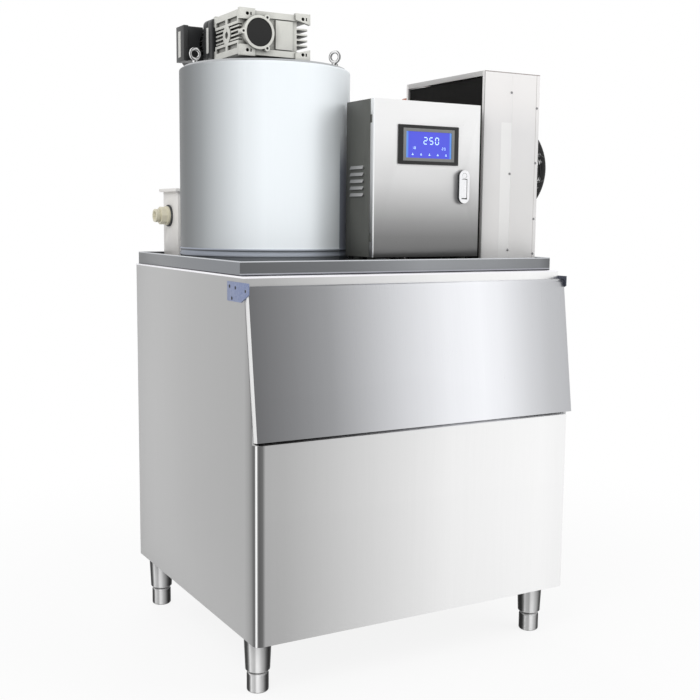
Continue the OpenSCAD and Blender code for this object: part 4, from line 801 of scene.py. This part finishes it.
def wire_guard():
    """Fan guard: round wire rings on ribs from the base ring to the hub plate."""
    low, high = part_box("fan_guard")
    axis_y, axis_z = (low.y + high.y) / 2, (low.z + high.z) / 2
    reach, outer = high.x - low.x, (high.y - low.y) / 2
    hub, wire, plate_thickness, tuck = 46 * MM, 1.7 * MM, 2 * MM, 4 * MM
    outer -= wire
    rise = reach - 2 * wire
    turns = [math.radians(degrees) for degrees in range(0, 89, 5)]
    outline = [(hub + (outer - hub) * math.cos(turn), wire + rise * math.sin(turn)) for turn in turns]
    rib = outline + [(hub - tuck, wire + rise)]
    p = Pattern("guard_pattern", wire_radius=wire, rib_count=12)
    rings = bpy.data.meshes.new("guard_rings")
    rings.from_pydata([(distance, 0, 0) for radius, distance in outline], [], [])
    spread = rings.attributes.new("ring_radius", "FLOAT", "POINT")
    for item, (radius, distance) in zip(spread.data, outline):
        item.value = radius
    section = p.add("GeometryNodeCurvePrimitiveCircle", {}, {
        "Resolution": 8, "Radius": p.given("wire_radius")})
    loop = p.moved(p.add("GeometryNodeCurvePrimitiveCircle", {}, {"Resolution": 72, "Radius": 1.0}),
                   (0, 0, 0), (0, math.pi / 2, 0))
    radius = p.add("GeometryNodeInputNamedAttribute", {"data_type": "FLOAT"}, {"Name": "ring_radius"})
    points = p.add("GeometryNodeMeshToPoints", {}, {"Mesh": p.given()})
    loops = p.add("GeometryNodeInstanceOnPoints", {}, {
        "Points": points, "Instance": loop, "Scale": p.vector(1.0, radius, radius)})
    hoops = p.add("GeometryNodeCurveToMesh", {}, {
        "Curve": p.add("GeometryNodeRealizeInstances", {}, {"Geometry": loops}), "Profile Curve": section})
    legs = []
    for start, end in zip(rib, rib[1:]):
        legs.append(p.add("GeometryNodeCurvePrimitiveLine", {}, {
            "Start": (start[1], start[0], 0), "End": (end[1], end[0], 0)}))
    spoke = p.add("GeometryNodeCurveToMesh", {}, {
        "Curve": p.joined(*legs), "Profile Curve": section, "Fill Caps": True})
    count = p.given("rib_count")
    fan = p.add("GeometryNodeMeshLine", {"mode": "OFFSET", "count_mode": "TOTAL"}, {
        "Count": count, "Offset": (0, 0, 0)})
    index = p.add("GeometryNodeInputIndex")
    spokes = p.add("GeometryNodeInstanceOnPoints", {}, {
        "Points": fan, "Instance": spoke, "Rotation": p.vector(x=(index + 0.5) * (2 * math.pi) / count)})
    plate = p.moved(p.add("GeometryNodeMeshCylinder", {}, {
        "Vertices": 64, "Radius": hub, "Depth": plate_thickness}),
        (reach - plate_thickness / 2, 0, 0), (0, math.pi / 2, 0))
    whole = p.moved(p.joined(hoops, spokes, plate), (low.x, axis_y, axis_z))
    return add_piece("guard_finished", p.mesh(p.painted(whole, wire_black), rings), "machine",
                     ("fan_guard",))


# Main pieces, eased at their edges
softened("bin_shell", shell_steel(), 0.6)
softened("bin_door", door_steel(), 0.7)
softened("left_hinge_bracket", zinc, 0.5)
# The right bracket takes the zinc painted darker as shade.
softened("right_hinge_bracket", zinc_dull, 0.5)
softened("tray", tray_steel(), 0.5)
softened("leg_sleeves", leg_steel, 0.8)
for foot in ("foot_front_left", "foot_front_right", "foot_back_left", "foot_back_right"):
    softened(foot, leg_steel, 0.0)
softened("drum_jacket", drum_steel(), 0.5)
softened("drum_cover", satin_steel, 1.0)
softened("lifting_eyes", eye_steel, 0.0, angle=60)
softened("gear_mount", cast_dark, 1.0)
softened("gear_case", cast_case, 1.8, 3)
softened("gear_end_cap", cap_black, 0.6)
softened("output_hub", shaft_steel, 0.8)
softened("motor_flange", motor_paint, 1.5)
softened("motor_body", motor_paint, 0.6)
softened("motor_fan_cover", motor_paint, 0.5)
softened("terminal_box", motor_paint, 2.5, 3)
softened("control_box", case_steel(), 0.7)
softened("box_door", box_door_steel(), 0.8)
softened("display_bezel", bezel_black, 1.4, 3)
softened("latch_plate", bright_chrome, 1.0, 3)
softened("latch_handle", bright_chrome, 1.2, 3)
softened("latch_button", bright_chrome, 0.8)
softened("coil_end_panels", white_panel, 0.5)
softened("coil_rails", grey_rail, 0.5)
softened("fan_shroud", white_panel, 0.6)
softened("fan_motor", motor_paint, 1.5)
softened("fan_rotor", black_paint, 0.8)
softened("compressor", black_paint, 0.8)
softened("receiver", black_paint, 0.8)
softened("suction_pipe", pipe_copper, 0.0, angle=50)
softened("liquid_pipe", pipe_copper, 0.0, angle=50)
softened("discharge_pipe", pipe_copper, 0.0, angle=50)
softened("water_tank", white_plastic, 1.0)
softened("tank_lid", white_plastic, 1.2, 3)
softened("tank_gasket", seal_rubber, 1.0)
softened("tank_fitting", cream_plastic, 1.2)
softened("cable_gland", black_plastic, 0.8)
softened("drain_stub", white_plastic, 0.8)
softened("float_arm", float_plastic, 0.0)

for node, material in {
    "bin_insulation": wall_foam, "bin_liner": inner_steel, "mouth_trim": trim_plastic,
    "door_core": trim_plastic, "drum_base": cast_dark, "drum_insulation": wall_foam,
    "evaporator": shaft_steel, "lower_spider": cast_dark, "main_shaft": shaft_steel,
    "ice_scraper": satin_steel, "water_pan": inner_steel, "display_screen": lit_screen(),
    "mounting_plate": zinc, "contactors": white_plastic,
}.items():
    paint_node(node, material)

coil_fins()
wire_guard()


# Small fasteners
bin_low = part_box("bin_shell")[0]
bracket_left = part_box("left_hinge_bracket")[0].x
bracket_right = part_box("right_hinge_bracket")[1].x
# Hinge screws, as millimetres behind the front of the bin and above the floor
hinge_holes = [(141, 1004), (107, 1002), (128, 976)]
hinge_head, head_proud = 1.8 * MM, 0.15 * MM
sunk = hinge_head - head_proud
hinge_screws = []
for side, way in ((bracket_left + sunk, -1), (bracket_right - sunk, 1)):
    hinge_screws += [((side, bin_low.y + y * MM, z * MM), (way, 0, 0)) for y, z in hinge_holes]
fasteners("hinge_screws", hinge_screws, "machine", 6.5 * MM, hinge_head, "cross", cap_black)

panel_low, panel_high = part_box("fan_shroud")
seam_x, flange_x = panel_low.x - 3 * MM, panel_high.x - 9 * MM
panel_height = panel_high.z - panel_low.z
panel_screws = []
for face, way in ((panel_low.y, -1), (panel_high.y, 1)):
    for x, parts in ((seam_x, (0.1, 0.49, 0.9)), (flange_x, (0.08, 0.26, 0.55, 0.83))):
        panel_screws += [((x, face, panel_low.z + part * panel_height), (0, way, 0)) for part in parts]
fasteners("panel_screws", panel_screws, "machine", 3.6 * MM, 1.6 * MM)

lug_ring, lug_sink = 45 * MM, 1.2 * MM
cap_low, cap_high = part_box("gear_end_cap")
case_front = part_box("gear_case")[0].y
cap_mid = (cap_low + cap_high) / 2
cap_bolts = []
for turn in (60, 180, 300):
    place = (cap_mid.x + lug_ring * math.cos(math.radians(turn)), case_front + lug_sink,
             cap_mid.z - lug_ring * math.sin(math.radians(turn)))
    cap_bolts.append((place, (0, -1, 0)))
fasteners("cap_bolts", cap_bolts, "machine", 3.2 * MM, 1.0 * MM, "socket", black_paint)

# Two bare strips on the motor's left side
strip_proud = 0.5 * MM
strips = []
for (low, high), (front, back), (foot, head) in (
        (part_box("motor_flange"), (0.37, 0.62), (26 * MM, 24 * MM)),
        (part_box("terminal_box"), (0.42, 0.72), (12 * MM, 14 * MM))):
    depth = high.y - low.y
    strips.append(((low.x - strip_proud, low.y + front * depth, low.z + foot),
                   (low.x + strip_proud, low.y + back * depth, high.z - head)))
plates("motor_strips", strips, strip_white, "machine", 0.2)


# The display's grey frame and its figures
DIGITS = {"0": "abcdef", "1": "bc", "2": "abged", "5": "afgcd", "8": "abcdefg"}


def digit_bars(figure, x, z, width, height, bar):
    """Bars of a seven-bar figure: (left, low, right, high)."""
    half = height / 2
    bars = {
        "a": (x + bar, z + height - bar, x + width - bar, z + height),
        "d": (x + bar, z, x + width - bar, z + bar),
        "g": (x + bar, z + half - bar / 2, x + width - bar, z + half + bar / 2),
        "b": (x + width - bar, z + half + bar / 2, x + width, z + height - bar),
        "c": (x + width - bar, z + bar, x + width, z + half - bar / 2),
        "f": (x, z + half + bar / 2, x + bar, z + height - bar),
        "e": (x, z + bar, x + bar, z + half - bar / 2)}
    return [bars[letter] for letter in DIGITS[figure]]


screen_low, screen_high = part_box("display_screen")
bezel_low, bezel_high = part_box("display_bezel")
rim_x, rim_z = 14 * MM, 8.5 * MM
out_left, out_right = bezel_low.x + rim_x, bezel_high.x - rim_x
out_low, out_high = bezel_low.z + rim_z, bezel_high.z - rim_z
frame_front, frame_back = bezel_low.y - 0.5 * MM, bezel_low.y + 0.2 * MM
frame_bars = [
    (out_left, out_low, screen_low.x, out_high), (screen_high.x, out_low, out_right, out_high),
    (screen_low.x, out_low, screen_high.x, screen_low.z),
    (screen_low.x, screen_high.z, screen_high.x, out_high)]
plates("display_frame", [((x0, frame_front, z0), (x1, frame_back, z1)) for x0, z0, x1, z1 in frame_bars],
       grey_plastic, "box_door_leaf", 0.2)

# Width, height and bar of a figure
large_figure = (12 * MM, 19 * MM, 2.2 * MM)
small_figure = (4.5 * MM, 7 * MM, 0.9 * MM)
screen_mid = (screen_low.x + screen_high.x) / 2
large_left, large_low, large_pitch = screen_mid - 17 * MM, screen_low.z + 35 * MM, 18 * MM
small_low, small_pitch = screen_low.z + 22 * MM, 7 * MM
icon_left, icon_low, icon_pitch = screen_low.x + 18 * MM, screen_low.z + 7 * MM, 26 * MM
marks = []
for place, figure in enumerate("250"):
    marks += digit_bars(figure, large_left + place * large_pitch, large_low, *large_figure)
for start, figures in ((icon_left, "18"), (screen_high.x - 30 * MM, "20")):
    for place, figure in enumerate(figures):
        marks += digit_bars(figure, start + place * small_pitch, small_low, *small_figure)
for place in range(5):
    x = icon_left + place * icon_pitch
    marks += [(x, icon_low, x + 5 * MM, icon_low + 2 * MM),
              (x + 1.5 * MM, icon_low + 3 * MM, x + 3.5 * MM, icon_low + 5 * MM)]
marks_front, marks_back = screen_low.y - 0.15 * MM, screen_low.y + 0.05 * MM
plates("display_figures", [((x0, marks_front, z0), (x1, marks_back, z1)) for x0, z0, x1, z1 in marks],
       screen_marks(), "box_door_leaf")


# Light, floor and camera

def room():
    """White surroundings that give a softer light than they show."""
    scene = bpy.context.scene
    scene.view_settings.view_transform = "Standard"
    scene.world = bpy.data.worlds.new("pale_room")
    scene.world.use_nodes = True
    g = Graph(scene.world.node_tree)
    g.tree.nodes.clear()
    seen = seen_rays(g)
    light = g.add("ShaderNodeBackground", {}, {"Color": (1, 1, 1, 1), "Strength": 0.62 + 0.38 * seen})
    g.add("ShaderNodeOutputWorld", {}, {"Surface": light})


def seen_rays(g):
    """1 for rays that show the surroundings, 0 for those that only light the object."""
    rays = [g.add("ShaderNodeLightPath", out=name)
            for name in ("Is Camera Ray", "Is Glossy Ray", "Is Transmission Ray")]
    return rays[0].math("MAXIMUM", rays[0].math("MAXIMUM", rays[0], rays[1]), rays[2])


def floor():
    """Pale floor that keeps the object's shadow and is white farther off."""
    shape = bmesh.new()
    bmesh.ops.create_grid(shape, x_segments=1, y_segments=1, size=30)
    mesh = bpy.data.meshes.new("floor")
    shape.to_mesh(mesh)
    shape.free()
    f = Finish("floor_white")
    matt = f.add("ShaderNodeBsdfDiffuse", {}, {"Color": (0.86, 0.86, 0.86, 1)})
    glow = f.add("ShaderNodeEmission", {}, {"Color": (1, 1, 1, 1), "Strength": 1.0})
    away = f.add("ShaderNodeVectorMath", {"operation": "LENGTH"}, {0: f.place}, out="Value")
    clear = f.add("ShaderNodeMapRange", {"interpolation_type": "SMOOTHSTEP"}, {
        "Value": away, "From Min": 0.7, "From Max": 2.2, "To Min": 0.86, "To Max": 1.0})
    both = f.add("ShaderNodeMixShader", {}, {0: clear * seen_rays(f), 1: matt, 2: glow})
    f.add("ShaderNodeOutputMaterial", {}, {"Surface": both})
    mesh.materials.append(f.material)
    plane = bpy.data.objects.new("floor", mesh)
    bpy.context.scene.collection.objects.link(plane)


def lamp(name, place, target, size, watts):
    """Soft round lamp that looks at a point."""
    data = bpy.data.lights.new(name, "AREA")
    data.shape = "DISK"
    data.size = size
    data.energy = watts
    lamp_object = bpy.data.objects.new(name, data)
    lamp_object.location = place
    lamp_object.visible_glossy = False
    lamp_object.rotation_euler = (Vector(target) - Vector(place)).to_track_quat("-Z", "Y").to_euler()
    bpy.context.scene.collection.objects.link(lamp_object)


def camera():
    """The photograph's viewpoint, placed from the bin's front left corner on the floor."""
    yaw, pitch, roll = math.radians(29.75), math.radians(7.04), math.radians(0.55)
    leftward, ahead, height = 1028.2 * MM, 2238.3 * MM, 1170.5 * MM
    forward = Vector((math.sin(yaw) * math.cos(pitch), math.cos(yaw) * math.cos(pitch), -math.sin(pitch)))
    level = Vector((math.cos(yaw), -math.sin(yaw), 0))
    upright = level.cross(forward)
    across = math.cos(roll) * level + math.sin(roll) * upright
    up = math.cos(roll) * upright - math.sin(roll) * level
    data = bpy.data.cameras.new("camera")
    data.sensor_width = 36
    data.lens = 55.27
    view = bpy.data.objects.new("camera", data)
    view.matrix_world = Matrix((across, up, -forward)).transposed().to_4x4()
    view.location = (bin_low.x - leftward, bin_low.y - ahead, height)
    bpy.context.scene.collection.objects.link(view)
    bpy.context.scene.camera = view


room()
floor()
lamp("key_lamp", (-2.6, -2.2, 3.4), (0, 0, 0.9), 2.2, 60)
lamp("fill_lamp", (2.8, -2.8, 2.6), (0, 0, 0.9), 2.6, 45)
lamp("back_lamp", (0.4, 3.0, 3.2), (0, 0, 1.1), 2.4, 35)
camera()
